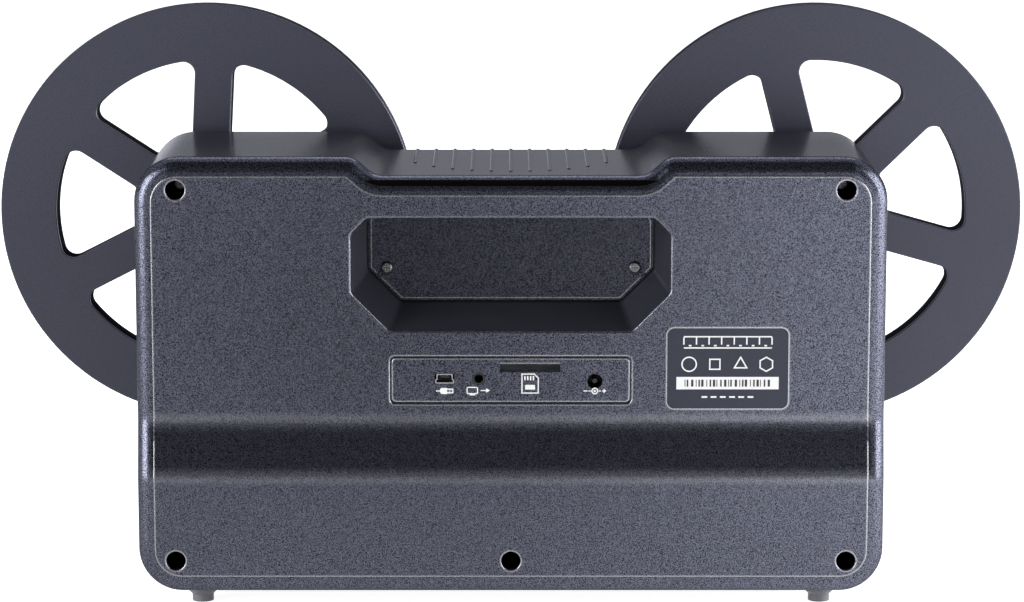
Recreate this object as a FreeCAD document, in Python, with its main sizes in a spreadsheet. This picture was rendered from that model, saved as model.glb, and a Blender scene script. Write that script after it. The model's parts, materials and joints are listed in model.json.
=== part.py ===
import FreeCAD, Part

import math
import os
import re

import Sketcher

# A tabletop film scanner with two reels, made as a bench-separable assembly.
# Depths are measured forward from the plane of the rear panel, where a negative depth lies behind it.
# X runs to the right of someone who faces the front, where the reels are, and Z runs up from the table.

Vector = FreeCAD.Vector

# Each row gives a size's name, its value in millimetres, degrees or a plain count, and what it is.
CASING_SIZES = (
    ("body_width", 303.8, "width of the casing"),
    ("body_bottom", 7.85, "height of the casing's underside above the table"),
    ("body_top", 185.7, "height of the casing's top at its rear edge"),
    ("dip_top", 178.05, "height of the hand dip at its rear edge"),
    ("top_rise", 2.6, "how far the top climbs towards the front"),
    ("plateau_edge", 63.5, "half width where the top starts to fall into the dip"),
    ("dip_edge", 54.8, "half width of the dip's floor"),
    ("dip_taper", 1.0, "how much narrower the dip is at the front"),
    ("corner_radius", 18.0, "radius of the casing's corners"),
    ("bend_radius", 9.0, "radius of the bends beside the dip"),
    ("parting_depth", 8.1, "depth of the seam between cover and housing"),
    ("seam_bevel", 0.35, "bevel of the casing's edges along the seam"),
    ("face_depth", 84.0, "depth of the front face"),
    ("face_radius", 4.0, "rounding of the front face's edge"),
    ("shell_wall", 2.4, "wall of the casing"),
    ("rear_step", 4.0, "how far the lower rear panel stands proud of the upper one"),
    ("band_top", 78.8, "height where the sloped band starts"),
    ("band_bottom", 55.6, "height where the sloped band ends"),
    ("band_radius", 14.0, "rounding of the band's two bends"),
    ("border_width", 6.9, "width of the rounded border round the panel"),
    ("border_drop", 0.8, "how far the border lies below the panel"),
    ("border_radius", 5.8, "rounding of the border"),
    ("panel_radius", 0.5, "rounding of the panel's edge"),
    ("lip_wall", 1.3, "wall of the cover's locating lip"),
    ("lip_length", 2.8, "reach of the lip into the housing"),
    ("lip_clearance", 0.15, "gap round the lip"),
)
RECESS_SIZES = (
    ("recess_half_width", 64.5, "half width of the hand recess at the panel"),
    ("recess_top", 161.5, "top of the recess"),
    ("recess_bottom", 115.5, "bottom of the recess at the panel"),
    ("recess_top_chamfer", 6.6, "corner cut at the top of the recess"),
    ("floor_top_chamfer", 3.2, "corner cut at the top of the recess floor"),
    ("recess_low_chamfer", 15.5, "corner cut at the bottom of the recess"),
    ("recess_depth", 28.0, "depth of the recess floor"),
    ("recess_wall", 2.2, "wall of the recess"),
    ("floor_half_width", 58.7, "half width of the recess floor"),
    ("floor_drop", 0.5, "draft of the recess roof"),
    ("floor_bottom", 123.6, "bottom of the recess floor"),
    ("floor_chamfer", 13.4, "corner cut of the recess floor"),
    ("recess_corner", 3.0, "corner radius of the recess"),
    ("rim_radius", 1.1, "rounding of the recess's rim"),
    ("groove_width", 0.9, "width of the groove round the recess floor"),
    ("groove_depth", 0.9, "depth of that groove"),
    ("floor_round", 0.4, "rounding of the recess floor's edge"),
)
SCREW_SIZES = (
    ("upper_screw_x", 134.8, "half spacing of the upper cover screws"),
    ("upper_screw_z", 172.9, "height of the upper cover screws"),
    ("lower_screw_x", 136.3, "half spacing of the lower cover screws"),
    ("lower_screw_z", 21.5, "height of the lower cover screws"),
    ("well_radius", 3.9, "radius of a screw well"),
    ("well_depth", 24.0, "depth of a screw well's floor"),
    ("boss_radius", 6.0, "radius of the boss round a screw well"),
    ("boss_end", 27.0, "depth where a cover boss meets its post"),
    ("well_round", 0.4, "rounding of a screw well's rim"),
    ("post_radius", 4.6, "radius of a housing post"),
    ("pilot_depth", 14.0, "length of a post's pilot hole"),
    ("screw_radius", 1.5, "radius of a screw's shank"),
    ("screw_length", 12.5, "length of a cover screw's shank"),
    ("screw_clearance", 0.2, "gap round a shank in a plain hole"),
    ("thread_clearance", 0.05, "gap round a shank in its post"),
    ("head_radius", 2.8, "radius of a cover screw's head"),
    ("head_height", 2.0, "height of a screw's head"),
    ("grip_screw_x", 51.0, "half spacing of the screws in the recess"),
    ("grip_screw_z", 137.6, "height of the screws in the recess"),
    ("grip_head_radius", 2.4, "radius of a recess screw's head"),
    ("grip_well_radius", 3.1, "radius of the shallow well round a recess screw"),
    ("grip_well_depth", 0.8, "depth of that well"),
    ("small_screw_radius", 1.0, "radius of an inner screw's shank"),
    ("small_head_radius", 1.9, "radius of an inner screw's head"),
    ("small_head_height", 1.3, "height of an inner screw's head"),
    ("small_screw_length", 6.0, "length of an inner screw's shank"),
    ("small_post_radius", 3.0, "radius of an inner post"),
    ("small_pilot_depth", 7.0, "length of an inner post's pilot hole"),
    ("drive_width", 0.7, "width of a screw head's cross"),
    ("drive_depth", 1.0, "depth of a screw head's cross"),
)
RIB_SIZES = (
    ("rib_count", 11, "number of grip ribs on top"),
    ("rib_pitch", 7.9, "spacing of the grip ribs"),
    ("rib_radius", 0.9, "radius of a rib"),
    ("rib_height", 0.5, "how far a rib stands up"),
    ("rib_front", 80.0, "depth of the ribs' front ends"),
    ("rib_rear", 18.8, "depth of the middle rib's rear end"),
    ("rib_arc_radius", 44.5, "radius of the arc on which the ribs end"),
)
FOOT_SIZES = (
    ("foot_x", 127.5, "half spacing of the feet"),
    ("foot_rear", 18.0, "depth of the rear feet"),
    ("foot_front", 74.0, "depth of the front feet"),
    ("foot_flange_radius", 6.1, "radius of a foot's upper flange"),
    ("foot_flange_height", 4.9, "height of that flange"),
    ("foot_flange_slope", 1.5, "bevel below that flange"),
    ("foot_pad_radius", 4.4, "radius of a foot's pad"),
    ("foot_stem_radius", 2.4, "radius of a foot's stem"),
    ("foot_barb_radius", 3.2, "radius of the barb on a stem"),
    ("foot_barb_height", 2.2, "height of that barb"),
)
PORT_SIZES = (
    ("port_left", 48.3, "X of the port plate's edge on the right of the front view"),
    ("port_right", -48.2, "X of the port plate's other edge"),
    ("port_bottom", 86.4, "bottom of the port plate"),
    ("port_top", 104.7, "top of the port plate"),
    ("port_groove", 0.6, "width of the groove round the port plate"),
    ("port_round", 0.45, "rounding of the two edges beside that groove"),
    ("port_sink", 0.3, "depth of the port plate's face"),
    ("port_gauge", 1.6, "thickness of the port plate"),
    ("port_ledge", 2.2, "ledge behind the port plate"),
    ("port_radius", 2.0, "corner radius of the port plate"),
    ("plate_gap", 0.1, "gap round the label and other set-in plates"),
    ("port_height", 96.1, "height of the ports' axes"),
    ("data_x", 26.8, "X of the data port"),
    ("data_width", 7.7, "width of the data port"),
    ("data_notch", 0.6, "how much narrower the data port's upper half is on each side"),
    ("contact_count", 5, "contacts in the data port"),
    ("contact_pitch", 0.8, "spacing of those contacts"),
    ("contact_width", 0.35, "width of a contact"),
    ("contact_rise", 0.2, "how far a contact stands out of its tongue"),
    ("data_height", 3.9, "height of the data port"),
    ("data_length", 9.0, "length of the data port"),
    ("socket_wall", 0.4, "sheet gauge of a socket"),
    ("socket_gap", 0.15, "gap round a socket in the port plate"),
    ("video_x", 13.0, "X of the video jack"),
    ("video_radius", 2.4, "radius of the video jack's nose"),
    ("video_bore", 1.8, "bore of the video jack"),
    ("video_length", 12.0, "length of the video jack's body"),
    ("video_width", 6.0, "width of the video jack's body"),
    ("card_x", -7.8, "X of the card slot's middle"),
    ("card_height", 100.9, "height of the card slot's middle"),
    ("card_slot_width", 24.4, "width of the card slot"),
    ("card_slot_height", 2.4, "height of the card slot"),
    ("card_bevel", 0.9, "bevel below the card slot"),
    ("card_reader_width", 27.0, "width of the card reader"),
    ("card_reader_height", 3.05, "height of the card reader"),
    ("card_reader_length", 28.0, "length of the card reader"),
    ("power_x", -34.0, "X of the power jack"),
    ("power_height", 95.0, "height of the power jack's axis"),
    ("power_bore", 3.1, "bore of the power jack"),
    ("power_pin_radius", 0.95, "radius of the power jack's pin"),
    ("power_body", 9.0, "width and height of the power jack's body"),
    ("power_length", 13.0, "length of the power jack's body"),
    ("label_left", -63.2, "X of the rating label's edge nearer the middle"),
    ("label_right", -112.2, "X of the rating label's outer edge"),
    ("label_bottom", 83.9, "bottom of the rating label"),
    ("label_top", 116.9, "top of the rating label"),
    ("label_radius", 2.9, "corner radius of the rating label"),
    ("label_sink", 0.45, "depth of the label's pocket"),
    ("label_gauge", 0.3, "thickness of the label"),
)
BOARD_SIZES = (
    ("board_gauge", 1.3, "thickness of the main circuit board"),
    ("board_left", 46.0, "X of the main board's edge near the data port"),
    ("board_right", -50.0, "X of the main board's other edge"),
    ("board_rear", 4.5, "depth of the main board's rear edge"),
    ("board_front", 52.0, "depth of the main board's front edge"),
    ("tray_gauge", 1.5, "sheet gauge of the board tray"),
    ("tray_height", 84.0, "height of the tray's shelf"),
    ("tray_rear", 9.0, "depth of the shelf's rear edge"),
    ("tray_flange_bottom", 74.0, "bottom of the tray's flange"),
    ("tray_post_left", 42.0, "X of the tray posts near the data port"),
    ("tray_post_right", -46.0, "X of the other tray posts"),
    ("tray_screw_z", 79.0, "height of the tray's screws"),
    ("tray_post_front", 46.0, "depth of the front tray posts"),
    ("tray_post_rear", 22.0, "depth of the rear tray posts"),
    ("notch_gap", 0.5, "gap round the power jack in the board"),
    ("connector_height", 2.2, "height of the ribbon connector"),
    ("ribbon_x", 20.0, "X of the display ribbon"),
    ("ribbon_width", 14.0, "width of the display ribbon"),
    ("ribbon_gauge", 0.4, "thickness of the display ribbon"),
    ("ribbon_bend", 2.5, "bend radius of the display ribbon"),
    ("ribbon_fall", 66.0, "depth at which the ribbon falls"),
    ("ribbon_pass_z", 106.0, "height at which the ribbon passes the chassis plate"),
    ("ribbon_land", 44.0, "depth at which the ribbon meets the main board"),
    ("ribbon_slot_gap", 1.0, "gap round the ribbon in the chassis plate"),
)
DISPLAY_SIZES = (
    ("window_half_width", 28.0, "half width of the display window"),
    ("window_bottom", 127.5, "bottom of the display window"),
    ("window_top", 170.5, "top of the display window"),
    ("window_gauge", 1.2, "thickness of the display window"),
    ("window_ledge", 2.0, "ledge behind the display window"),
    ("window_radius", 2.5, "corner radius of the display window"),
    ("window_sink", 0.6, "how far the window lies below the bezel"),
    ("bezel_radius", 5.0, "corner radius of the raised bezel"),
    ("display_post_x", 29.5, "half spacing of the display's posts"),
    ("display_post_gap", 3.2, "distance of the display's posts above and below the window"),
    ("display_plug_z", 133.0, "height of the ribbon connector on the display's board"),
    ("bezel_width", 3.5, "width of the raised bezel"),
    ("bezel_height", 1.4, "height of the raised bezel"),
    ("glass_gauge", 3.2, "thickness of the display panel"),
    ("display_board_gauge", 1.2, "thickness of the display's board"),
    ("display_board_margin", 5.0, "how far that board stands out past the panel"),
    ("key_height", 113.0, "height of the row of keys"),
    ("key_pitch", 14.4, "spacing of the keys"),
    ("key_radius", 4.4, "radius of a key"),
    ("key_gap", 0.15, "gap round a key"),
    ("key_rise", 2.0, "how far a key stands out of the face"),
    ("key_dome", 0.6, "rounding of a key's cap"),
    ("key_flange_radius", 5.4, "radius of a key's retaining flange"),
    ("key_flange_height", 1.0, "height of that flange"),
    ("key_stem_radius", 1.6, "radius of a key's stem"),
    ("key_stem_length", 1.2, "length of a key's stem"),
    ("key_travel", 0.7, "travel of a key"),
    ("switch_gap", 0.25, "gap left between a pressed key and its switch"),
    ("switch_width", 6.0, "width of a tact switch"),
    ("switch_height", 3.4, "height of a tact switch"),
    ("switch_button_radius", 1.7, "radius of a tact switch's button"),
    ("switch_button_height", 0.8, "height of a tact switch's button"),
    ("key_board_half_width", 42.0, "half width of the key board"),
    ("key_board_half_height", 7.5, "half height of the key board"),
    ("key_board_gauge", 1.2, "thickness of the key board"),
    ("key_post_x", 38.5, "half spacing of the key board's posts"),
)
SPINDLE_SIZES = (
    ("spindle_x", 130.3, "half spacing of the spindles"),
    ("spindle_z", 152.2, "height of the spindles"),
    ("shaft_radius", 4.0, "radius of a spindle's shaft"),
    ("shaft_clearance", 0.05, "running gap round a shaft"),
    ("shaft_start", 51.0, "depth of a shaft's inner end"),
    ("seat_radius", 9.0, "radius of the reel seat"),
    ("seat_start", 88.2, "depth where the reel seat starts"),
    ("nose_radius", 6.2, "radius of a spindle's nose"),
    ("nose_round", 2.2, "rounding of a spindle's tip"),
    ("spindle_tip_depth", 123.5, "depth of a spindle's tip"),
    ("spline_width", 1.9, "width of a drive spline"),
    ("spline_height", 1.2, "height of a drive spline"),
    ("spline_count", 3, "number of drive splines"),
    ("latch_half_length", 8.0, "half length of a latch"),
    ("latch_half_width", 2.2, "half width of a latch"),
    ("latch_gauge", 3.0, "thickness of a latch"),
    ("latch_gap", 0.25, "gap beside a latch in its slot"),
    ("latch_pin_radius", 1.0, "radius of a latch's trunnion"),
    ("latch_pin_clearance", 0.05, "running gap round a trunnion"),
    ("latch_pin_reach", 5.2, "half length of a trunnion"),
    ("latch_play_share", 0.3, "share of the free play beyond a reel that lies behind its latch"),
    ("latch_end_gap", 0.9, "gap behind a latch that is turned in line"),
    ("collar_radius", 11.5, "radius of the collar round a spindle"),
    ("collar_height", 2.6, "height of that collar"),
    ("bush_radius", 7.0, "radius of a bush"),
    ("bush_flange_radius", 9.0, "radius of a bush's flange"),
    ("bush_flange_height", 1.3, "height of a bush's flange"),
    ("bush_inner_end", 79.0, "depth of a front bush's inner end"),
    ("rear_bush_length", 5.0, "length of a rear bush"),
    ("rear_bush_radius", 6.5, "radius of a rear bush"),
    ("bush_clearance", 0.05, "gap round a bush in its hole"),
)
REEL_SIZES = (
    ("flange_radius", 89.0, "radius of a reel's flanges"),
    ("reel_start", 93.5, "depth of a reel's rear face"),
    ("reel_thickness", 13.0, "thickness of a reel"),
    ("flange_gauge", 1.3, "thickness of a flange's web"),
    ("rim_gauge", 1.8, "thickness of a flange's rim"),
    ("rim_width", 2.2, "width of the thick rim"),
    ("window_outer_radius", 65.2, "outer radius of a reel's windows"),
    ("window_inner_radius", 30.5, "inner radius of a reel's windows"),
    ("reel_bevel", 0.35, "bevel of the edges of a reel's flanges"),
    ("spoke_width", 16.0, "width of a spoke"),
    ("spoke_count", 6, "number of spokes"),
    ("reel_window_corner", 5.0, "corner radius of a reel's windows"),
    ("hub_radius", 26.0, "radius of the film core"),
    ("hub_wall", 3.0, "wall of the film core"),
    ("hub_boss_radius", 10.5, "radius of the boss round a reel's bore"),
    ("bore_clearance", 0.08, "gap between a reel's bore and the spindle's nose"),
    ("spline_clearance", 0.15, "gap beside a spline in the reel"),
    ("supply_spoke_angle", 15.6, "angle of the supply reel's first spoke"),
    ("takeup_spoke_angle", 33.1, "angle of the take-up reel's first spoke"),
)
DRIVE_SIZES = (
    ("chassis_depth", 58.0, "depth of the chassis plate's rear face"),
    ("chassis_gauge", 1.6, "gauge of the chassis plate"),
    ("chassis_half_width", 143.0, "half width of the chassis plate"),
    ("chassis_bottom", 44.0, "bottom of the chassis plate"),
    ("chassis_top", 165.5, "top of the chassis plate"),
    ("chassis_post_x", 95.0, "half spacing of the chassis posts"),
    ("chassis_post_low", 62.0, "height of the lower chassis posts"),
    ("chassis_post_high", 128.0, "height of the upper chassis posts"),
    ("chassis_hole_gap", 1.2, "gap round a grip post in the chassis plate"),
    ("gear_module", 0.8, "module of the take-up gears"),
    ("takeup_teeth", 36, "teeth of the take-up gear"),
    ("pinion_teeth", 12, "teeth of a pinion"),
    ("backlash", 0.16, "play between meshed teeth"),
    ("gear_start", 66.0, "depth of the take-up gear's rear face"),
    ("gear_width", 5.0, "width of the take-up gear"),
    ("gear_clearance", 0.06, "running gap in the take-up gear's bore"),
    ("felt_gauge", 1.2, "thickness of a friction felt"),
    ("felt_inner_radius", 5.0, "inner radius of a friction felt"),
    ("felt_outer_radius", 10.5, "outer radius of a friction felt"),
    ("disc_radius", 11.5, "radius of a friction disc"),
    ("disc_gauge", 1.6, "thickness of a friction disc"),
    ("disc_sleeve_radius", 6.4, "radius of a friction disc's sleeve"),
    ("running_gap", 0.2, "end float between turning pieces"),
    ("spring_radius", 5.2, "mean radius of the clutch spring"),
    ("spring_wire", 0.5, "half thickness of the clutch spring's flat wire"),
    ("spring_turns", 3, "turns of the clutch spring"),
    ("motor_radius", 12.0, "radius of the take-up motor"),
    ("motor_length", 27.0, "length of the take-up motor"),
    ("motor_boss_radius", 4.0, "radius of a motor's locating boss"),
    ("motor_boss_height", 1.2, "height of that boss"),
    ("motor_shaft_radius", 1.0, "radius of a motor's shaft"),
    ("motor_shaft_reach", 6.0, "length of a motor's shaft inside the motor"),
    ("motor_shaft_clearance", 0.05, "gap round a motor's shaft in its pinion"),
)
ADVANCE_SIZES = (
    ("crank_height", 62.0, "height of the crank gear's axle"),
    ("crank_teeth", 40, "teeth of the crank gear"),
    ("crank_module", 0.6, "module of the film advance gears"),
    ("crank_start", 70.0, "depth of the crank gear's rear face"),
    ("crank_width", 3.0, "width of the crank gear"),
    ("crank_pin_radius", 1.2, "radius of the crank pin"),
    ("crank_axle_radius", 2.0, "radius of the crank gear's axle"),
    ("crank_axle_start", 54.0, "depth of the axle's inner end"),
    ("crank_hub_radius", 4.0, "radius of the crank gear's hub"),
    ("crank_bush_radius", 4.5, "radius of the crank gear's bush"),
    ("crank_bush_start", 55.0, "depth of that bush's inner end"),
    ("crank_bush_end", 64.0, "depth of that bush's outer end"),
    ("crank_clearance", 0.05, "running gap in the crank gear's bush"),
    ("film_pitch", 4.23, "spacing of the film's frames, and the claw's stroke"),
    ("claw_start", 76.6, "depth of the claw plate's rear face"),
    ("claw_gauge", 1.4, "gauge of the claw plate"),
    ("claw_half_width", 15.0, "half width of the claw plate"),
    ("claw_bottom", 49.0, "bottom of the claw plate"),
    ("claw_top", 70.0, "top of the claw plate"),
    ("claw_stud_x", 10.0, "half spacing of the claw's studs"),
    ("claw_stud_z", 54.0, "height of the claw's studs"),
    ("claw_stud_radius", 1.5, "radius of a claw stud"),
    ("claw_stud_head", 3.0, "radius of a claw stud's head"),
    ("claw_slot_gap", 0.06, "gap above and below a stud in the claw's slot"),
    ("claw_end_gap", 0.3, "room past the stroke at each end of the claw's slot"),
    ("claw_arm_x", 18.0, "X of the claw's arm"),
    ("claw_arm_width", 2.6, "width of the claw's arm"),
    ("claw_arm_bottom", 44.7, "underside of the claw's arm"),
    ("claw_arm_height", 1.5, "height of the claw's arm"),
    ("claw_arm_end", 98.0, "depth of the claw arm's end"),
    ("claw_tooth_length", 1.0, "length of the claw's tooth"),
    ("claw_tooth_width", 1.0, "width of the claw's tooth"),
    ("stepper_radius", 9.0, "radius of the film advance motor"),
    ("stepper_length", 15.0, "length of the film advance motor"),
)
GATE_SIZES = (
    ("gate_half_width", 30.0, "half width of the gate block"),
    ("gate_bottom", 16.0, "bottom of the gate block"),
    ("gate_top", 100.0, "top of the gate block"),
    ("gate_face", 112.0, "depth of the gate block's face"),
    ("gate_wall", 2.2, "wall of the gate block"),
    ("gate_radius", 3.0, "rounding of the gate block's edges"),
    ("film_height", 43.2, "height of the film track"),
    ("channel_height", 5.6, "height of the film channel"),
    ("channel_start", 94.0, "depth of the film channel's rear wall"),
    ("track_gauge", 2.0, "thickness of the film track and of the plate above the channel"),
    ("frame_window", 4.5, "half width of the window over the film"),
    ("film_middle", 100.0, "depth of the film's centre line"),
    ("diffuser_half_width", 9.0, "half width of the light diffuser"),
    ("diffuser_half_depth", 5.5, "half depth of the light diffuser"),
    ("diffuser_lip", 1.0, "ledge under the light diffuser"),
    ("diffuser_gauge", 1.2, "thickness of the light diffuser"),
    ("housing_opening", 22.0, "half width of the openings behind the gate block"),
    ("opening_inset", 3.5, "how far those openings stop inside the block's ends"),
    ("bridge_bottom", 49.5, "bottom of the bridge between those openings"),
    ("bridge_top", 58.5, "top of the bridge between those openings"),
    ("gate_post_x", 26.0, "half spacing of the gate block's screw posts"),
    ("gate_post_inset", 5.0, "distance of those posts from the block's ends"),
    ("gate_post_length", 9.0, "length of the gate block's screw posts"),
    ("lamp_height", 24.0, "height of the lamp board"),
    ("lamp_half_width", 12.0, "half width of the lamp board"),
    ("lamp_half_depth", 8.0, "half depth of the lamp board"),
    ("lamp_radius", 2.5, "radius of the lamp"),
    ("lamp_rise", 3.0, "height of the lamp"),
    ("carrier_height", 62.0, "underside of the lens carrier"),
    ("carrier_gauge", 3.0, "thickness of the lens carrier"),
    ("lens_radius", 6.5, "radius of the lens barrel"),
    ("lens_flange_radius", 7.6, "radius of the lens barrel's flange"),
    ("lens_flange_height", 1.5, "height of that flange"),
    ("lens_bottom", 56.0, "underside of the lens barrel"),
    ("lens_top", 76.0, "top of the lens barrel"),
    ("lens_bore", 4.6, "bore of the lens barrel"),
    ("lens_fit", 0.05, "gap round the lens barrel and the lens"),
    ("glass_radius", 5.4, "radius of the lens glass"),
    ("glass_height", 2.4, "thickness of the lens glass"),
    ("sensor_height", 82.0, "underside of the sensor board"),
    ("sensor_half_width", 14.0, "half width of the sensor board"),
    ("sensor_rear", 89.0, "depth of the sensor board's rear edge"),
    ("sensor_front", 108.0, "depth of the sensor board's front edge"),
    ("sensor_chip", 4.0, "half width of the image sensor"),
    ("sensor_gauge", 1.2, "thickness of the sensor board and the lamp board"),
    ("sensor_chip_height", 1.2, "thickness of the image sensor"),
    ("sensor_post_x", 11.0, "half spacing of the sensor board's posts"),
    ("sensor_post_depth", 92.0, "depth of the sensor board's posts"),
    ("lamp_post_x", 9.0, "half spacing of the lamp board's posts"),
)
DOOR_SIZES = (
    ("door_bottom", 27.0, "bottom of the gate door"),
    ("door_top", 65.0, "top of the gate door"),
    ("door_gauge", 3.0, "thickness of the gate door"),
    ("door_gap", 0.4, "gap behind the gate door"),
    ("door_edge", 27.0, "X of the gate door's free edge"),
    ("door_radius", 2.0, "corner radius of the gate door"),
    ("hinge_x", -26.5, "X of the gate door's hinge"),
    ("hinge_depth", 115.2, "depth of the gate door's hinge"),
    ("barrel_radius", 2.3, "radius of the hinge barrel"),
    ("hinge_pin_radius", 1.0, "radius of the hinge pin"),
    ("hinge_clearance", 0.05, "running gap round the hinge pin"),
    ("hinge_pin_head", 1.8, "radius of the hinge pin's head"),
    ("ear_height", 3.2, "height of a hinge ear"),
    ("ear_gap", 0.25, "gap between an ear and the barrel"),
    ("tab_width", 12.0, "height of the door's finger tab"),
    ("tab_reach", 3.0, "how far the finger tab stands out past the door's edge"),
    ("tongue_half_width", 11.0, "half width of the pressure plate"),
    ("tongue_gap", 0.6, "gap between pressure plate and film track"),
    ("tongue_gauge", 2.0, "thickness of the pressure plate"),
    ("tongue_reach", 95.5, "depth of the pressure plate's end"),
    ("tongue_root", 1.6, "how deep the pressure plate is set into the door"),
    ("tongue_window", 3.4, "half width of the pressure plate's window"),
)
ROLLER_SIZES = (
    ("outer_roller_x", 118.0, "half spacing of the outer film rollers"),
    ("outer_roller_z", 38.0, "height of the outer film rollers"),
    ("inner_roller_x", 54.0, "half spacing of the inner film rollers"),
    ("inner_roller_z", 50.0, "height of the inner film rollers"),
    ("roller_radius", 5.0, "radius of a roller's track"),
    ("roller_flange_radius", 7.6, "radius of a roller's flanges"),
    ("roller_flange_width", 1.1, "width of a roller's flange"),
    ("roller_half_length", 5.3, "half length of a roller"),
    ("roller_pin_radius", 2.0, "radius of a roller's pin"),
    ("roller_pin_head", 3.4, "radius of a roller pin's head"),
    ("roller_pin_head_height", 1.8, "height of a roller pin's head"),
    ("roller_clearance", 0.06, "running gap in a roller's bore"),
    ("roller_boss_radius", 5.6, "radius of the boss behind a roller"),
    ("roller_pin_start", 76.0, "depth of a roller pin's inner end"),
)
SIZES = (CASING_SIZES + RECESS_SIZES + SCREW_SIZES + RIB_SIZES + FOOT_SIZES + PORT_SIZES + BOARD_SIZES
         + DISPLAY_SIZES + SPINDLE_SIZES + REEL_SIZES + DRIVE_SIZES + ADVANCE_SIZES + GATE_SIZES
         + DOOR_SIZES + ROLLER_SIZES)

# Each row gives a worked-out size's name and its formula.
DERIVED = (
    ("panel_y", "(spindle_tip_depth - rear_step) / 2"),
    ("half_body", "body_width / 2"),
    ("inner_face", "face_depth - shell_wall"),
    ("panel_inner", "border_drop + shell_wall"),
    ("port_back", "port_sink + port_gauge"),
    ("window_front", "face_depth + bezel_height - window_sink"),
    ("display_post_low", "window_bottom - display_post_gap"),
    ("display_post_high", "window_top + display_post_gap"),
    ("glass_rear", "inner_face - glass_gauge"),
    ("display_board_rear", "glass_rear - display_board_gauge"),
    ("display_screw_end", "display_board_rear + small_screw_length + thread_clearance"),
    ("key_flange_front", "inner_face - key_gap"),
    ("key_flange_rear", "key_flange_front - key_flange_height"),
    ("key_rear", "key_flange_rear - key_stem_length"),
    ("switch_top", "key_rear - key_travel - switch_gap"),
    ("key_board_front", "switch_top - switch_button_height - switch_height"),
    ("key_board_rear", "key_board_front - key_board_gauge"),
    ("collar_end", "face_depth + collar_height"),
    ("bush_end", "collar_end + bush_flange_height"),
    ("reel_end", "reel_start + reel_thickness"),
    ("latch_play", "spindle_tip_depth - reel_end - 2 * latch_half_width"),
    ("latch_depth", "reel_end + latch_half_width + latch_play_share * latch_play"),
    ("slot_depth", "latch_depth - latch_half_length - latch_end_gap"),
    ("reel_bore", "nose_radius + bore_clearance"),
    ("front_flange_start", "reel_end - flange_gauge"),
    ("chassis_front", "chassis_depth + chassis_gauge"),
    ("rear_bush_end", "chassis_front + bush_flange_height"),
    ("rear_bush_start", "rear_bush_end - bush_flange_height - rear_bush_length"),
    ("gear_end", "gear_start + gear_width"),
    ("felt_start", "gear_end + running_gap"),
    ("felt_end", "felt_start + felt_gauge"),
    ("disc_end", "felt_end + disc_gauge"),
    ("brake_start", "rear_bush_end + running_gap"),
    ("brake_end", "brake_start + felt_gauge"),
    ("brake_disc_end", "brake_end + disc_gauge"),
    ("takeup_radius", "gear_module * takeup_teeth / 2"),
    ("pinion_radius", "gear_module * pinion_teeth / 2"),
    ("motor_x", "spindle_x - takeup_radius - pinion_radius"),
    ("crank_radius", "crank_module * crank_teeth / 2"),
    ("stepper_x", "crank_radius + crank_module * pinion_teeth / 2"),
    ("crank_end", "crank_start + crank_width"),
    ("claw_front", "claw_start + claw_gauge"),
    ("claw_stroke", "film_pitch / 2"),
    ("channel_top", "film_height + channel_height"),
    ("track_bottom", "film_height - track_gauge"),
    ("ceiling_top", "channel_top + track_gauge"),
    ("channel_rear", "channel_start - gate_wall"),
    ("carrier_top", "carrier_height + carrier_gauge"),
    ("sensor_top", "sensor_height + sensor_gauge"),
    ("lamp_top", "lamp_height + sensor_gauge"),
    ("gate_post_low", "gate_bottom + gate_post_inset"),
    ("gate_post_high", "gate_top - gate_post_inset"),
    ("tray_post_end", "port_height + data_height / 2"),
    ("board_top", "tray_post_end + board_gauge"),
    ("door_inner", "gate_face + door_gap"),
    ("door_outer", "door_inner + door_gauge"),
    ("roller_start", "film_middle - roller_half_length"),
    ("roller_end", "film_middle + roller_half_length"),
)

# The keys from left to right as seen from the front.
KEYS = ("power_button", "previous_button", "record_button", "next_button", "menu_button")

# Each row gives a chip's name, its range of X, its range of depth and its height on the main board.
CHIPS = (
    ("processor", (-20.0, -6.0), (36.0, 48.0), 1.4),
    ("memory", (-38.0, -28.0), (30.0, 42.0), 1.1),
    ("regulator", (32.0, 38.0), (12.0, 18.0), 2.0),
)


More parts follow.
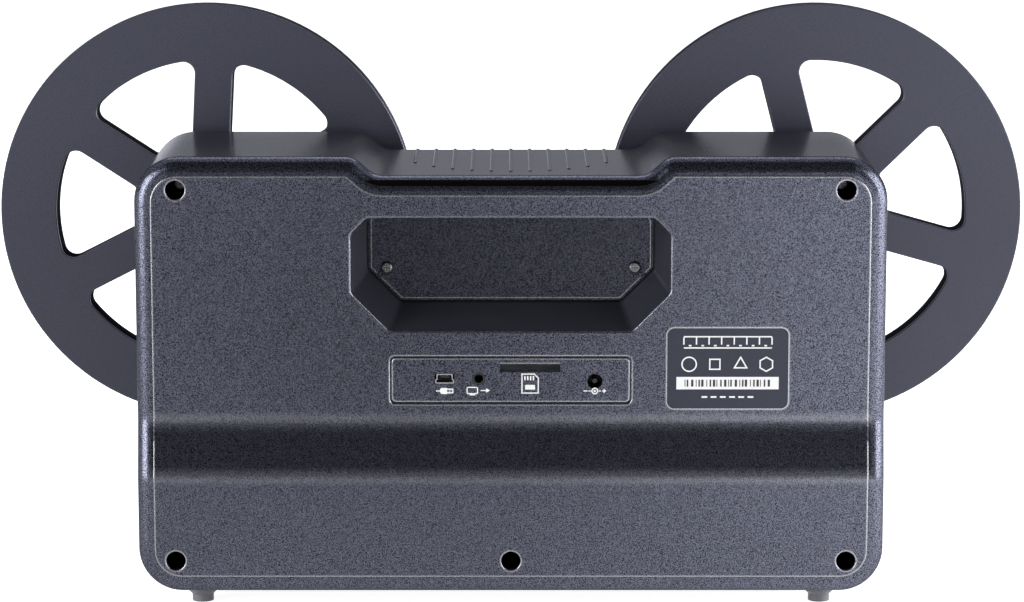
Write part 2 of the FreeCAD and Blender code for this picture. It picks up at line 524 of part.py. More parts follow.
class Model:
    """A document whose pieces read their sizes from one sheet."""

    def __init__(self):
        self.doc = FreeCAD.newDocument("film_scanner")
        self.sheet = self.doc.addObject("Spreadsheet::Sheet", "Sizes")
        self.derived = self.doc.addObject("App::VarSet", "Derived")
        self.homes = {}
        self.pieces = []
        for row, (name, value, words) in enumerate(SIZES, start=1):
            self.sheet.set(f"A{row}", words)
            self.sheet.set(f"B{row}", str(value))
            self.sheet.setAlias(f"B{row}", name)
            self.homes[name] = "Sizes."
        for name, formula in DERIVED:
            self.derived.addProperty("App::PropertyFloat", name)
            self.derived.setExpression(name, self.text(formula))
            self.homes[name] = "Derived."
        self.doc.recompute()

    def text(self, formula):
        """Return a formula with each size's name pointed at the sheet or the worked-out sizes."""
        return re.sub(r"[a-z_]+", lambda word: self.homes.get(word.group(), "") + word.group(), str(formula))

    def size(self, name):
        """Return a size's number."""
        if self.homes[name] == "Sizes.":
            return float(self.sheet.get(name))
        return float(getattr(self.derived, name))

    def count(self, name):
        """Return a size that counts something."""
        return int(round(self.size(name)))

    def y(self, depth):
        """Return the Y of a depth given as a number or as a size's name."""
        return self.size("panel_y") - (self.size(depth) if isinstance(depth, str) else depth)

    def bind(self, thing, **formulas):
        """Bind properties of an object to formulas."""
        for name, formula in formulas.items():
            thing.setExpression(name, self.text(formula))

    def place(self, thing, x="0", depth="0", z="0"):
        """Bind an object's place to formulas for X, depth and Z."""
        thing.setExpression("Placement.Base.x", self.text(x))
        thing.setExpression("Placement.Base.y", self.text(f"panel_y - ({depth})"))
        thing.setExpression("Placement.Base.z", self.text(z))

    def slab(self, name, x, depth, z):
        """Add a box between low and high formulas for X, depth and Z."""
        solid = self.doc.addObject("Part::Box", name)
        self.bind(solid, Length=f"({x[1]}) - ({x[0]})", Width=f"({depth[1]}) - ({depth[0]})",
                  Height=f"({z[1]}) - ({z[0]})")
        self.place(solid, x[0], depth[1], z[0])
        return solid

    def cylinder(self, name, radius, length, turn, start):
        """Add a cylinder turned from Z about X, or about Y, with its start at three formulas."""
        solid = self.doc.addObject("Part::Cylinder", name)
        self.bind(solid, Radius=radius, Height=length)
        solid.Placement = FreeCAD.Placement(Vector(), turn)
        self.place(solid, *start)
        return solid

    def rod(self, name, radius, depth, x, z):
        """Add a cylinder along the depth."""
        turn = FreeCAD.Rotation(Vector(1, 0, 0), -90)
        return self.cylinder(name, radius, f"({depth[1]}) - ({depth[0]})", turn, (x, depth[1], z))

    def post(self, name, radius, x, depth, z):
        """Add an upright cylinder."""
        return self.cylinder(name, radius, f"({z[1]}) - ({z[0]})", FreeCAD.Rotation(), (x, depth, z[0]))

    def turned(self, name, profile, turn, start):
        """Add a body turned about its own Z axis from radius and height formulas."""
        body = self.doc.addObject("PartDesign::Body", name)
        plane = next(part for part in body.Origin.OriginFeatures if part.Role == "XZ_Plane")
        sketch = body.newObject("Sketcher::SketchObject", name + "_profile")
        sketch.AttachmentSupport = [(plane, "")]
        sketch.MapMode = "FlatFace"
        total = len(profile)
        ring = [Vector(2 + math.cos(math.tau * step / total), math.sin(math.tau * step / total), 0)
                for step in range(total)]
        for step in range(total):
            sketch.addGeometry(Part.LineSegment(ring[step], ring[(step + 1) % total]), False)
        for step in range(total):
            sketch.addConstraint(Sketcher.Constraint("Coincident", step, 2, (step + 1) % total, 1))
        for step, (radius, height) in enumerate(profile):
            for kind, formula in (("DistanceX", radius), ("DistanceY", height)):
                spot = sketch.addConstraint(Sketcher.Constraint(kind, -1, 1, step, 1, 1.0))
                sketch.setExpression(f"Constraints[{spot}]", self.text(formula))
        feature = body.newObject("PartDesign::Revolution", name + "_turning")
        feature.Profile = sketch
        feature.ReferenceAxis = (sketch, ["V_Axis"])
        feature.Angle = 360
        body.Placement = FreeCAD.Placement(Vector(), turn)
        self.place(body, *start)
        return body

    def turned_forward(self, name, profile, x, z):
        """Add a body turned about a line along the depth, from radius and depth formulas."""
        return self.turned(name, profile, FreeCAD.Rotation(Vector(1, 0, 0), 90), (x, "0", z))

    def turned_upright(self, name, profile, x, depth):
        """Add a body turned about an upright line, from radius and height formulas."""
        return self.turned(name, profile, FreeCAD.Rotation(), (x, depth, "0"))

    def shape(self, name, shape):
        """Add a feature that holds a shape made from the sheet's numbers."""
        solid = self.doc.addObject("Part::Feature", name)
        solid.Shape = shape
        return solid

    def fuse(self, name, *parts):
        """Join solids into one."""
        if len(parts) == 1:
            return parts[0]
        result = self.doc.addObject("Part::MultiFuse", name)
        result.Shapes = list(parts)
        return result

    def cut(self, name, base, *tools):
        """Cut tools out of a solid."""
        result = self.doc.addObject("Part::Cut", name)
        result.Base = base
        result.Tool = self.fuse(name + "_tools", *tools)
        return result

    def common(self, name, first, second):
        """Keep what two solids share."""
        result = self.doc.addObject("Part::Common", name)
        result.Base = first
        result.Tool = second
        return result

    def group(self, name, *parts):
        """Keep separate solids together in one node."""
        result = self.doc.addObject("Part::Compound", name)
        result.Links = list(parts)
        return result

    def round(self, name, base, radius, choose, kind="Part::Fillet"):
        """Round the edges of a solid that a test chooses, or bevel them with Part::Chamfer."""
        self.doc.recompute()
        size = self.size(radius)
        result = self.doc.addObject(kind, name)
        result.Base = base
        result.Edges = [(number, size, size) for number, edge in enumerate(base.Shape.Edges, start=1)
                        if choose(edge)]
        return result

    def keep(self, node, solid):
        """Give the finished solid its node's name."""
        solid.Label = node
        self.pieces.append(solid)
        return solid


def inset_corners(corners, distance):
    """Return an outline's corners moved inwards, with their radii kept concentric."""
    moved = []
    for index, (u, v, radius) in enumerate(corners):
        before = corners[index - 1]
        after = corners[(index + 1) % len(corners)]
        first = math.atan2(v - before[1], u - before[0])
        second = math.atan2(after[1] - v, after[0] - u)
        turn = math.remainder(second - first, math.tau)
        reach = distance / math.cos(turn / 2)
        aim = first + turn / 2 + math.pi / 2
        kept = radius - distance if turn > 0 else radius + distance
        moved.append((u + reach * math.cos(aim), v + reach * math.sin(aim), max(kept, 0.4)))
    return moved


def rounded_wire(corners, place):
    """Return a closed wire through corners (u, v, radius), where place turns u and v into a point."""
    runs = []
    for index, (u, v, radius) in enumerate(corners):
        before = corners[index - 1]
        after = corners[(index + 1) % len(corners)]
        first = math.atan2(v - before[1], u - before[0])
        second = math.atan2(after[1] - v, after[0] - u)
        turn = math.remainder(second - first, math.tau)
        reach = radius * math.tan(abs(turn) / 2)
        bulge = radius * (1 / math.cos(turn / 2) - 1)
        aim = first + turn / 2 + math.copysign(math.pi / 2, turn)
        start = (u - reach * math.cos(first), v - reach * math.sin(first))
        middle = (u + bulge * math.cos(aim), v + bulge * math.sin(aim))
        end = (u + reach * math.cos(second), v + reach * math.sin(second))
        runs.append((place(*start), place(*middle), place(*end), radius))
    edges = []
    for index, (start, middle, end, radius) in enumerate(runs):
        if radius > 0:
            edges.append(Part.Arc(start, middle, end).toShape())
        edges.append(Part.LineSegment(end, runs[(index + 1) % len(runs)][0]).toShape())
    return Part.Wire(edges)


def upright(y):
    """Return a function that stands an outline up at one Y."""
    return lambda u, v: Vector(u, y, v)


def prism(corners, start, end):
    """Return a straight block between two Ys."""
    face = Part.Face(rounded_wire(corners, upright(start)))
    return face.extrude(Vector(0, end - start, 0))


def taper(first, start, second, end):
    """Return a block that runs from one outline to another."""
    wires = [rounded_wire(first, upright(start)), rounded_wire(second, upright(end))]
    return Part.makeLoft(wires, True, True)


def rectangle(left, right, bottom, top, radius):
    """Return the corners of a rounded rectangle."""
    low, high = min(left, right), max(left, right)
    return [(high, bottom, radius), (high, top, radius), (low, top, radius), (low, bottom, radius)]


def casing_corners(model, share=0.0):
    """Return the casing's outline at a share of the way from the seam to the face."""
    size = model.size
    half = size("half_body")
    rise = size("top_rise") * share
    narrow = size("dip_taper") * share
    corner = size("corner_radius")
    bend = size("bend_radius")
    right = [(half, size("body_bottom"), corner), (half, size("body_top") + rise, corner),
             (size("plateau_edge") - narrow, size("body_top") + rise, bend),
             (size("dip_edge") - narrow, size("dip_top") + rise, bend)]
    return right + [(-x, z, radius) for x, z, radius in reversed(right)]


def stepped_side(model, sink, half_width):
    """Return a block whose rear follows the panel's side view, sunk below it by a distance."""
    size = model.size
    low, high = -10.0, size("body_top") + 10.0
    upper = size("panel_y") - sink
    lower = upper + size("rear_step")
    front = model.y("parting_depth") - size("lip_length") - 1.0
    bend = size("band_radius")
    corners = [(front, low, 0), (lower, low, 0), (lower, size("band_bottom"), bend),
               (upper, size("band_top"), bend), (upper, high, 0), (front, high, 0)]
    face = Part.Face(rounded_wire(corners, lambda u, v: Vector(-half_width, u, v)))
    return face.extrude(Vector(2 * half_width, 0, 0))


def outer_edges(shape, front, width):
    """Return the edges round a stepped block's rear face."""
    chosen = []
    for edge in shape.Edges:
        box = edge.BoundBox
        across = box.XLength > width and box.YLength < 1e-6 and box.ZLength < 1e-6
        inside = across and shape.BoundBox.ZMin + 1 < box.ZMin < shape.BoundBox.ZMax - 20
        if box.YMin > front + 1e-3 and not inside:
            chosen.append(edge)
    return chosen


def cover_block(model, inset, sink, radius):
    """Return the rear cover's rounded block, inset from the casing's outline."""
    size = model.size
    corners = inset_corners(casing_corners(model), inset)
    front = model.y("parting_depth")
    block = prism(corners, front, size("panel_y") + size("rear_step") + 1)
    block = block.common(stepped_side(model, sink, size("half_body") + 5))
    edges = outer_edges(block, front, size("body_width") / 2)
    return block.makeFillet(radius, edges)


def bevel_seam(model, block, side):
    """Return a block with its edge along the seam bevelled, to the rear of it for a side of 1."""
    bevel = model.size("seam_bevel")
    seam = model.y("parting_depth")
    end = seam + 2 * bevel * side
    corners = casing_corners(model)
    kept = taper(inset_corners(corners, bevel), seam, inset_corners(corners, -bevel), end)
    return block.cut(prism(inset_corners(corners, -2 * bevel), seam, end).cut(kept))


def cover_shell(model):
    """Return the rear cover's shell with its raised panel and its lip."""
    size = model.size
    wall = size("shell_wall")
    front = model.y("parting_depth")
    outer = bevel_seam(model, cover_block(model, 0, size("border_drop"), size("border_radius")), 1)
    corners = inset_corners(casing_corners(model), size("border_width"))
    panel = prism(corners, front, size("panel_y") + size("rear_step") + 1)
    panel = panel.common(stepped_side(model, 0, size("half_body") + 5))
    panel = panel.makeFillet(size("panel_radius"), outer_edges(panel, front, size("body_width") / 2))
    inner = cover_block(model, wall, size("panel_inner"), size("border_radius") - wall)
    shell = outer.fuse(panel).cut(inner)
    lip_outer = wall + size("lip_clearance")
    lip_inner = lip_outer + size("lip_wall")
    around = casing_corners(model)
    seat = prism(inset_corners(around, wall - 0.4), front, front + size("lip_length"))
    seat = seat.cut(prism(inset_corners(around, lip_inner), front, front + size("lip_length")))
    lip = prism(inset_corners(around, lip_outer), front - size("lip_length"), front)
    lip = lip.cut(prism(inset_corners(around, lip_inner), front - size("lip_length"), front))
    return shell.fuse([seat, lip]).removeSplitter()


def recess_corners(model, grow, floor):
    """Return the eight-sided outline of the recess at the panel or at its floor."""
    size = model.size
    if floor:
        half, bottom = size("floor_half_width"), size("floor_bottom")
        top, low_cut = size("recess_top") - size("floor_drop"), size("floor_chamfer")
        high_cut = size("floor_top_chamfer")
    else:
        half, bottom = size("recess_half_width"), size("recess_bottom")
        top, low_cut = size("recess_top"), size("recess_low_chamfer")
        high_cut = size("recess_top_chamfer")
    corner = size("recess_corner")
    right = [(half - low_cut, bottom, corner), (half, bottom + low_cut, corner),
             (half, top - high_cut, corner), (half - high_cut, top, corner)]
    corners = right + [(-x, z, radius) for x, z, radius in reversed(right)]
    return inset_corners(corners, -grow)


def recess_block(model, grow, start, depth):
    """Return the recess's block from the panel to a depth, grown outwards by a distance."""
    share = depth / model.size("recess_depth")
    opening = recess_corners(model, grow, False)
    floor = recess_corners(model, grow, True)
    blended = [(a[0] + (b[0] - a[0]) * share, a[1] + (b[1] - a[1]) * share, a[2])
               for a, b in zip(opening, floor)]
    block = taper(opening, model.y(0.0), blended, model.y(depth))
    if start < 0:
        block = block.fuse(prism(opening, model.y(0.0), model.y(start)))
    return block


def recess_room(model):
    """Return the cutter of the recess, which leaves its floor raised inside a groove."""
    floor = model.size("recess_depth")
    deep = floor + model.size("groove_depth")
    raised = prism(inset_corners(recess_corners(model, 0, True), model.size("groove_width")),
                   model.y(deep) - 1, model.y(floor))
    edge = [edge for edge in raised.Edges if edge.BoundBox.YMin > model.y(floor) - 1e-3]
    raised = raised.makeFillet(model.size("floor_round"), edge)
    return recess_block(model, 0, -6, deep).cut(raised)


def housing_shell(model):
    """Return the front housing's tub."""
    size = model.size
    wall = size("shell_wall")
    seam = model.y("parting_depth")
    face = model.y("face_depth")
    outer = taper(casing_corners(model), seam, casing_corners(model, 1.0), face)
    rim = [edge for edge in outer.Edges if edge.BoundBox.YMax < face + 1e-3]
    outer = bevel_seam(model, outer.makeFillet(size("face_radius"), rim), -1)
    share = 1 - wall / (size("face_depth") - size("parting_depth"))
    inner = taper(inset_corners(casing_corners(model), wall), seam,
                  inset_corners(casing_corners(model, share), wall), model.y("inner_face"))
    return outer.cut(inner)


def grip_ribs(model):
    """Return the ribs on the hand dip, whose rear ends lie on an arc."""
    size = model.size
    radius = size("rib_radius")
    arc = size("rib_arc_radius")
    slope = size("top_rise") / (size("face_depth") - size("parting_depth"))
    ribs = []
    for step in range(model.count("rib_count")):
        x = (step - (model.count("rib_count") - 1) / 2) * size("rib_pitch")
        rear = size("rib_rear") + arc - math.sqrt(max(arc ** 2 - x ** 2, 0))
        ends = []
        for depth in (rear, size("rib_front")):
            z = size("dip_top") + slope * (depth - size("parting_depth")) + size("rib_height") - radius
            ends.append(Vector(x, model.y(depth), z))
        run = ends[1] - ends[0]
        ribs.append(Part.makeCylinder(radius, run.Length, ends[0], run))
        ribs.extend(Part.makeSphere(radius, end) for end in ends)
    return ribs[0].fuse(ribs[1:])


def screw_shape(head_radius, head_height, shank_radius, shank_length, cross):
    """Return a pan-head screw along -Y whose head starts at the origin, with a cross cut in its top."""
    width, depth = cross
    head = Part.makeCylinder(head_radius, head_height, Vector(), Vector(0, -1, 0))
    top = [edge for edge in head.Edges if edge.BoundBox.YMin > -1e-6]
    head = head.makeFillet(head_height * 0.4, top)
    shank = Part.makeCylinder(shank_radius, shank_length + head_height, Vector(), Vector(0, -1, 0))
    screw = head.fuse(shank)
    arm = head_radius * 1.3
    for long, short in ((arm, width), (width, arm)):
        slot = Part.makeBox(long, depth, short, Vector(-long / 2, -depth, -short / 2))
        screw = screw.cut(slot)
    return screw


def screw_set(model, sizes, places):
    """Return screws of one size at places, each a point and a direction that the shank points to."""
    size = model.size
    cross = (size("drive_width"), size("drive_depth"))
    screw = screw_shape(size(sizes[0]), size(sizes[1]), size(sizes[2]), size(sizes[3]), cross)
    screws = []
    for point, aim in places:
        copy = screw.copy()
        copy.Placement = FreeCAD.Placement(point, FreeCAD.Rotation(Vector(0, -1, 0), aim))
        screws.append(copy)
    return Part.makeCompound(screws)


def gear_shape(teeth, module, backlash, width, bore):
    """Return a spur gear along +Z with one tooth on +X, each flank in two straight runs."""
    pitch = module * teeth / 2
    root = pitch - 1.2 * module
    tip = pitch + 0.9 * module
    half = math.pi / (2 * teeth) - backlash / (2 * pitch)
    lean = math.tan(math.radians(20))
    points = []
    for tooth in range(teeth):
        middle = math.tau * tooth / teeth
        flank = ((root, half + 1.2 * module * lean / pitch), (pitch, half),
                 (tip, half - 0.9 * module * lean / pitch))
        for radius, angle in flank:
            points.append((radius, middle - angle))
        for radius, angle in reversed(flank):
            points.append((radius, middle + angle))
    corners = [Vector(radius * math.cos(angle), radius * math.sin(angle), 0) for radius, angle in points]
    blank = Part.Face(Part.makePolygon(corners + corners[:1])).extrude(Vector(0, 0, width))
    return blank.cut(Part.makeCylinder(bore, width)) if bore else blank


def stand_forward(shape, x, y, z, turn=0.0):
    """Turn a shape made along +Z to face forward, after a turn about its own axis."""
    shape.Placement = FreeCAD.Placement(Vector(x, y, z), FreeCAD.Rotation(Vector(1, 0, 0), 90))
    shape.rotate(Vector(x, y, z), Vector(0, -1, 0), turn)
    return shape


def along_depth(edge):
    """Tell whether an edge runs along the depth."""
    return edge.BoundBox.XLength < 1e-6 and edge.BoundBox.ZLength < 1e-6


def is_upright(edge):
    """Tell whether an edge runs straight up."""
    return edge.BoundBox.XLength < 1e-6 and edge.BoundBox.YLength < 1e-6


def flat_at(edge, y):
    """Tell whether an edge lies flat in the plane of one Y."""
    return edge.BoundBox.YLength < 1e-6 and abs(edge.BoundBox.YMin - y) < 1e-3


def plate(model, name, x, depth, z, radius):
    """Add a slab whose corners, seen from the front, are rounded."""
    return model.round(name, model.slab(name + "_blank", x, depth, z), radius, along_depth)


def cover_screw_spots(model):
    """Return the names and places of the five cover screws."""
    return (("left_top", "-upper_screw_x", "upper_screw_z"), ("right_top", "upper_screw_x", "upper_screw_z"),
            ("left_low", "-lower_screw_x", "lower_screw_z"), ("right_low", "lower_screw_x", "lower_screw_z"),
            ("middle_low", "0", "lower_screw_z"))


def make_rear_cover(model):
    """Make the rear cover: shell, hand recess, port window, label pocket and screw wells."""
    shell = model.shape("cover_shell", cover_shell(model))
    outside = model.size("recess_wall")
    recess = model.shape("recess_outside",
                         recess_block(model, outside, 0, model.size("recess_depth") + outside))
    solids = [shell, recess]
    tools = [model.shape("recess_inside", recess_room(model))]
    for name, x, z in cover_screw_spots(model):
        start = "panel_inner - shell_wall - rear_step" if "low" in name else "panel_inner - shell_wall"
        solids.append(model.rod(name + "_boss", "boss_radius", (start, "boss_end"), x, z))
        tools.append(model.rod(name + "_well", "well_radius", ("-rear_step - 1", "well_depth"), x, z))
        tools.append(model.rod(name + "_hole", "screw_radius + screw_clearance",
                               ("well_depth - 1", "boss_end + 1"), x, z))
    for side in ("-", ""):
        name = "grip" + ("_left" if side else "_right")
        tools.append(model.rod(name + "_well", "grip_well_radius",
                               ("recess_depth - 1", "recess_depth + grip_well_depth"),
                               side + "grip_screw_x", "grip_screw_z"))
        tools.append(model.rod(name + "_hole", "screw_radius + screw_clearance",
                               ("recess_depth - 1", "recess_depth + recess_wall + 1"),
                               side + "grip_screw_x", "grip_screw_z"))
    tools.append(plate(model, "port_pocket", ("port_right - port_groove", "port_left + port_groove"),
                       ("-1", "port_back"), ("port_bottom - port_groove", "port_top + port_groove"),
                       "port_radius"))
    tools.append(model.slab("port_window", ("port_right + port_ledge", "port_left - port_ledge"),
                            ("port_back", "panel_inner + 1"),
                            ("port_bottom + port_ledge", "port_top - port_ledge")))
    tools.append(plate(model, "label_pocket", ("label_right", "label_left"), ("-1", "label_sink"),
                       ("label_bottom", "label_top"), "label_radius"))
    cover = model.cut("cover_sharp", model.fuse("cover_solids", *solids), *tools)
    model.keep("rear_cover", cover_rounds(model, cover))


def cover_rounds(model, cover):
    """Round the rims of the recess, the port window and the screw wells."""
    size = model.size
    panel = size("panel_y")

    def at_recess(edge):
        box = edge.BoundBox
        inside = size("recess_bottom") - 1 < box.ZMin and box.ZMax < size("recess_top") + 1
        return inside and flat_at(edge, panel) and abs(box.Center.x) < size("recess_half_width") + 1

    def at_ports(edge):
        box = edge.BoundBox
        low, high = size("port_bottom") - 1, size("port_top") + 1
        across = size("port_right") - 1 < box.XMin and box.XMax < size("port_left") + 1
        return low < box.ZMin and box.ZMax < high and flat_at(edge, panel) and across

    def at_well(edge):
        across = abs(edge.BoundBox.XLength - 2 * size("well_radius")) < 0.1
        return across and (flat_at(edge, panel) or flat_at(edge, panel + size("rear_step")))

    rim = model.round("cover_recess_round", cover, "rim_radius", at_recess)
    ports = model.round("cover_port_round", rim, "port_round", at_ports)
    return model.round("rear_cover", ports, "well_round", at_well)


def make_front_housing(model):
    """Make the front housing: tub, grip ribs, posts, bosses and the openings in its face."""
    solids = [model.shape("housing_shell", housing_shell(model)), model.shape("grip_ribs", grip_ribs(model))]
    tools = []
    for name, x, z in cover_screw_spots(model):
        solids.append(model.rod(name + "_post", "post_radius", ("boss_end", "inner_face + 1"), x, z))
        tools.append(model.rod(name + "_pilot", "screw_radius + thread_clearance",
                               ("boss_end - 1", "boss_end + pilot_depth"), x, z))
    for side in ("-", ""):
        name = "left" if side else "right"
        solids.append(model.rod(name + "_grip_post", "post_radius",
                                ("recess_depth + recess_wall", "inner_face + 1"),
                                side + "grip_screw_x", "grip_screw_z"))
        tools.append(model.rod(name + "_grip_pilot", "screw_radius + thread_clearance",
                               ("recess_depth", "recess_depth + recess_wall + pilot_depth"),
                               side + "grip_screw_x", "grip_screw_z"))
        for level in ("low", "high"):
            spot = (side + "chassis_post_x", "chassis_post_" + level)
            solids.append(model.rod(f"{name}_{level}_standoff", "post_radius",
                                    ("chassis_front", "inner_face + 1"), *spot))
            tools.append(model.rod(f"{name}_{level}_standoff_pilot", "small_screw_radius + thread_clearance",
                                   ("chassis_front - 1", "chassis_front + small_pilot_depth"), *spot))
        spot = (side + "spindle_x", "spindle_z")
        solids.append(model.rod(name + "_collar", "collar_radius", ("inner_face", "collar_end"), *spot))
        tools.append(model.rod(name + "_bush_hole", "bush_radius + bush_clearance",
                               ("inner_face - 1", "collar_end + 1"), *spot))
        for place in ("outer", "inner"):
            spot = (f"{side}{place}_roller_x", f"{place}_roller_z")
            solids.append(model.rod(f"{name}_{place}_boss", "roller_boss_radius",
                                    ("inner_face", "roller_start - running_gap"), *spot))
            tools.append(model.rod(f"{name}_{place}_hole", "roller_pin_radius + thread_clearance",
                                   ("inner_face - 1", "roller_start"), *spot))
        for place in ("rear", "front"):
            tools.append(model.post(f"{name}_{place}_foot_hole", "foot_stem_radius + thread_clearance",
                                    side + "foot_x", "foot_" + place,
                                    ("body_bottom - 1", "body_bottom + shell_wall + 1")))
        for level in ("low", "high"):
            tools.append(model.rod(f"{name}_{level}_gate_hole", "small_screw_radius + screw_clearance",
                                   ("inner_face - 1", "face_depth + 1"), side + "gate_post_x",
                                   "gate_post_" + level))
        for level in ("low", "high"):
            spot = (side + "display_post_x", "display_post_" + level)
            solids.append(model.rod(f"{name}_{level}_display_post", "small_post_radius",
                                    ("display_board_rear + display_board_gauge", "inner_face + 1"), *spot))
            tools.append(model.rod(f"{name}_{level}_display_pilot", "small_screw_radius + thread_clearance",
                                   ("display_board_rear", "display_screw_end"), *spot))
        spot = (side + "key_post_x", "key_height")
        solids.append(model.rod(name + "_key_post", "small_post_radius",
                                ("key_board_front", "inner_face + 1"), *spot))
        tools.append(model.rod(name + "_key_pilot", "small_screw_radius + thread_clearance",
                               ("key_board_front - 1", "inner_face"), *spot))
        tools.append(model.rod(name + "_stud_hole", "claw_stud_radius + thread_clearance",
                               ("inner_face - 1", "face_depth + 1"), side + "claw_stud_x", "claw_stud_z"))
    bezel = plate(model, "bezel", ("-window_half_width - bezel_width", "window_half_width + bezel_width"),
                  ("face_depth - 1", "face_depth + bezel_height"),
                  ("window_bottom - bezel_width", "window_top + bezel_width"), "bezel_radius")
    solids.append(bezel)
    tools.append(plate(model, "window_pocket", ("-window_half_width", "window_half_width"),
                       ("window_front - window_gauge", "window_front + 2"),
                       ("window_bottom", "window_top"), "window_radius"))
    tools.append(model.slab("window_opening",
                            ("-window_half_width + window_ledge", "window_half_width - window_ledge"),
                            ("inner_face - 1", "face_depth + bezel_height + 1"),
                            ("window_bottom + window_ledge", "window_top - window_ledge")))
    for index, node in enumerate(KEYS):
        tools.append(model.rod(node + "_hole", "key_radius + key_gap", ("inner_face - 1", "face_depth + 1"),
                               key_x(index), "key_height"))
    for name, low, high in (("lower", "gate_bottom + opening_inset", "bridge_bottom"),
                            ("upper", "bridge_top", "gate_top - opening_inset")):
        tools.append(model.slab(name + "_opening", ("-housing_opening", "housing_opening"),
                                ("inner_face - 1", "face_depth + 1"), (low, high)))
    model.keep("front_housing", model.cut("front_housing", model.fuse("housing_solids", *solids), *tools))


def key_x(index):
    """Return the formula for a key's X."""
    return f"{index - (len(KEYS) - 1) / 2} * key_pitch"


def make_keys(model):
    """Make the keys and the board with their switches."""
    profile = (("0", "key_rear"), ("key_stem_radius", "key_rear"), ("key_stem_radius", "key_flange_rear"),
               ("key_flange_radius", "key_flange_rear"), ("key_flange_radius", "key_flange_front"),
               ("key_radius", "key_flange_front"), ("key_radius", "face_depth + key_rise - key_dome"),
               ("key_radius - key_dome", "face_depth + key_rise"), ("0", "face_depth + key_rise"))
    switches = []
    for index, node in enumerate(KEYS):
        model.keep(node, model.turned_forward(node, profile, key_x(index), "key_height"))
        middle = key_x(index)
        switches.append(model.slab(node + "_switch",
                                   (f"{middle} - switch_width / 2", f"{middle} + switch_width / 2"),
                                   ("key_board_front", "key_board_front + switch_height"),
                                   ("key_height - switch_width / 2", "key_height + switch_width / 2")))
        switches.append(model.rod(node + "_plunger", "switch_button_radius",
                                  ("key_board_front", "switch_top"), middle, "key_height"))
    board = plate(model, "key_board_blank", ("-key_board_half_width", "key_board_half_width"),
                  ("key_board_rear", "key_board_front"),
                  ("key_height - key_board_half_height", "key_height + key_board_half_height"),
                  "small_head_radius")
    holes = [model.rod(f"key_board_hole{side}", "small_screw_radius + screw_clearance",
                       ("key_board_rear - 1", "key_board_front + 1"), side + "key_post_x", "key_height")
             for side in ("-", "")]
    board = model.fuse("key_board_parts", board, *switches)
    model.keep("key_board", model.cut("key_board", board, *holes))


def make_display(model):
    """Make the display window and the display panel on its board."""
    gap = "plate_gap"
    model.keep("display_window", plate(
        model, "display_window", (f"-window_half_width + {gap}", f"window_half_width - {gap}"),
        ("window_front - window_gauge", "window_front"),
        (f"window_bottom + {gap}", f"window_top - {gap}"), "window_radius"))
    panel = model.slab("display_panel", ("-window_half_width", "window_half_width"),
                       ("glass_rear", "inner_face"), ("window_bottom", "window_top"))
    wide = "window_half_width + display_board_margin"
    board = model.slab("display_board", (f"-({wide})", wide),
                       ("display_board_rear", "glass_rear"),
                       ("display_post_low - small_post_radius", "display_post_high + small_post_radius"))
    plug = model.slab("display_connector",
                      ("ribbon_x - ribbon_width / 2 - 1", "ribbon_x + ribbon_width / 2 + 1"),
                      ("display_board_rear - connector_height", "display_board_rear"),
                      ("display_plug_z - connector_height", "display_plug_z + connector_height"))
    holes = [model.rod(f"display_hole{side}_{level}", "small_screw_radius + screw_clearance",
                       ("display_board_rear - 1", "glass_rear + 1"), side + "display_post_x",
                       "display_post_" + level)
             for side in ("-", "") for level in ("low", "high")]
    module = model.fuse("display_parts", panel, board, plug)
    model.keep("display_module", model.cut("display_module", module, *holes))


def screw_places(model):
    """Return the inner screws' places, each the point of a head and the way that its shank points."""
    forward, down = Vector(0, -1, 0), Vector(0, 0, -1)
    size = model.size
    head = size("small_head_height")
    level = [("chassis_post_x", "chassis_post_low", "chassis_depth"),
             ("chassis_post_x", "chassis_post_high", "chassis_depth"),
             ("display_post_x", "display_post_low", "display_board_rear"),
             ("display_post_x", "display_post_high", "display_board_rear"),
             ("key_post_x", "key_height", "key_board_rear"),
             ("gate_post_x", "gate_post_low", "inner_face"), ("gate_post_x", "gate_post_high", "inner_face")]
    fallen = (("sensor_post_x", "sensor_post_depth", "sensor_top"),
              ("lamp_post_x", "film_middle", "lamp_top"))
    places = []
    for sign in (-1, 1):
        for x, z, seat in level:
            places.append((Vector(sign * size(x), model.y(size(seat) - head), size(z)), forward))
        for x, depth, seat in fallen:
            places.append((Vector(sign * size(x), model.y(depth), size(seat) + head), down))
    for x in ("tray_post_left", "tray_post_right"):
        for depth in ("tray_post_rear", "tray_post_front"):
            places.append((Vector(size(x), model.y(depth), size("board_top") + head), down))
        seat = size("chassis_depth") - size("tray_gauge") - head
        places.append((Vector(size(x), model.y(seat), size("tray_screw_z")), forward))
    return places


def make_screws(model):
    """Make the three kinds of screws."""
    size = model.size
    forward = Vector(0, -1, 0)
    deep = model.y(size("well_depth") - size("head_height"))
    cover = [(Vector(sign * size("upper_screw_x"), deep, size("upper_screw_z")), forward)
             for sign in (-1, 1)]
    cover += [(Vector(sign * size("lower_screw_x"), deep, size("lower_screw_z")), forward)
              for sign in (-1, 0, 1)]
    kind = ("head_radius", "head_height", "screw_radius", "screw_length")
    model.keep("cover_screws", model.shape("cover_screws", screw_set(model, kind, cover)))
    shallow = model.y(size("recess_depth") + size("grip_well_depth") - size("head_height"))
    grip = [(Vector(sign * size("grip_screw_x"), shallow, size("grip_screw_z")), forward)
            for sign in (-1, 1)]
    kind = ("grip_head_radius", "head_height", "screw_radius", "screw_length")
    model.keep("grip_screws", model.shape("grip_screws", screw_set(model, kind, grip)))
    kind = ("small_head_radius", "small_head_height", "small_screw_radius", "small_screw_length")
    model.keep("inner_screws", model.shape("inner_screws", screw_set(model, kind, screw_places(model))))


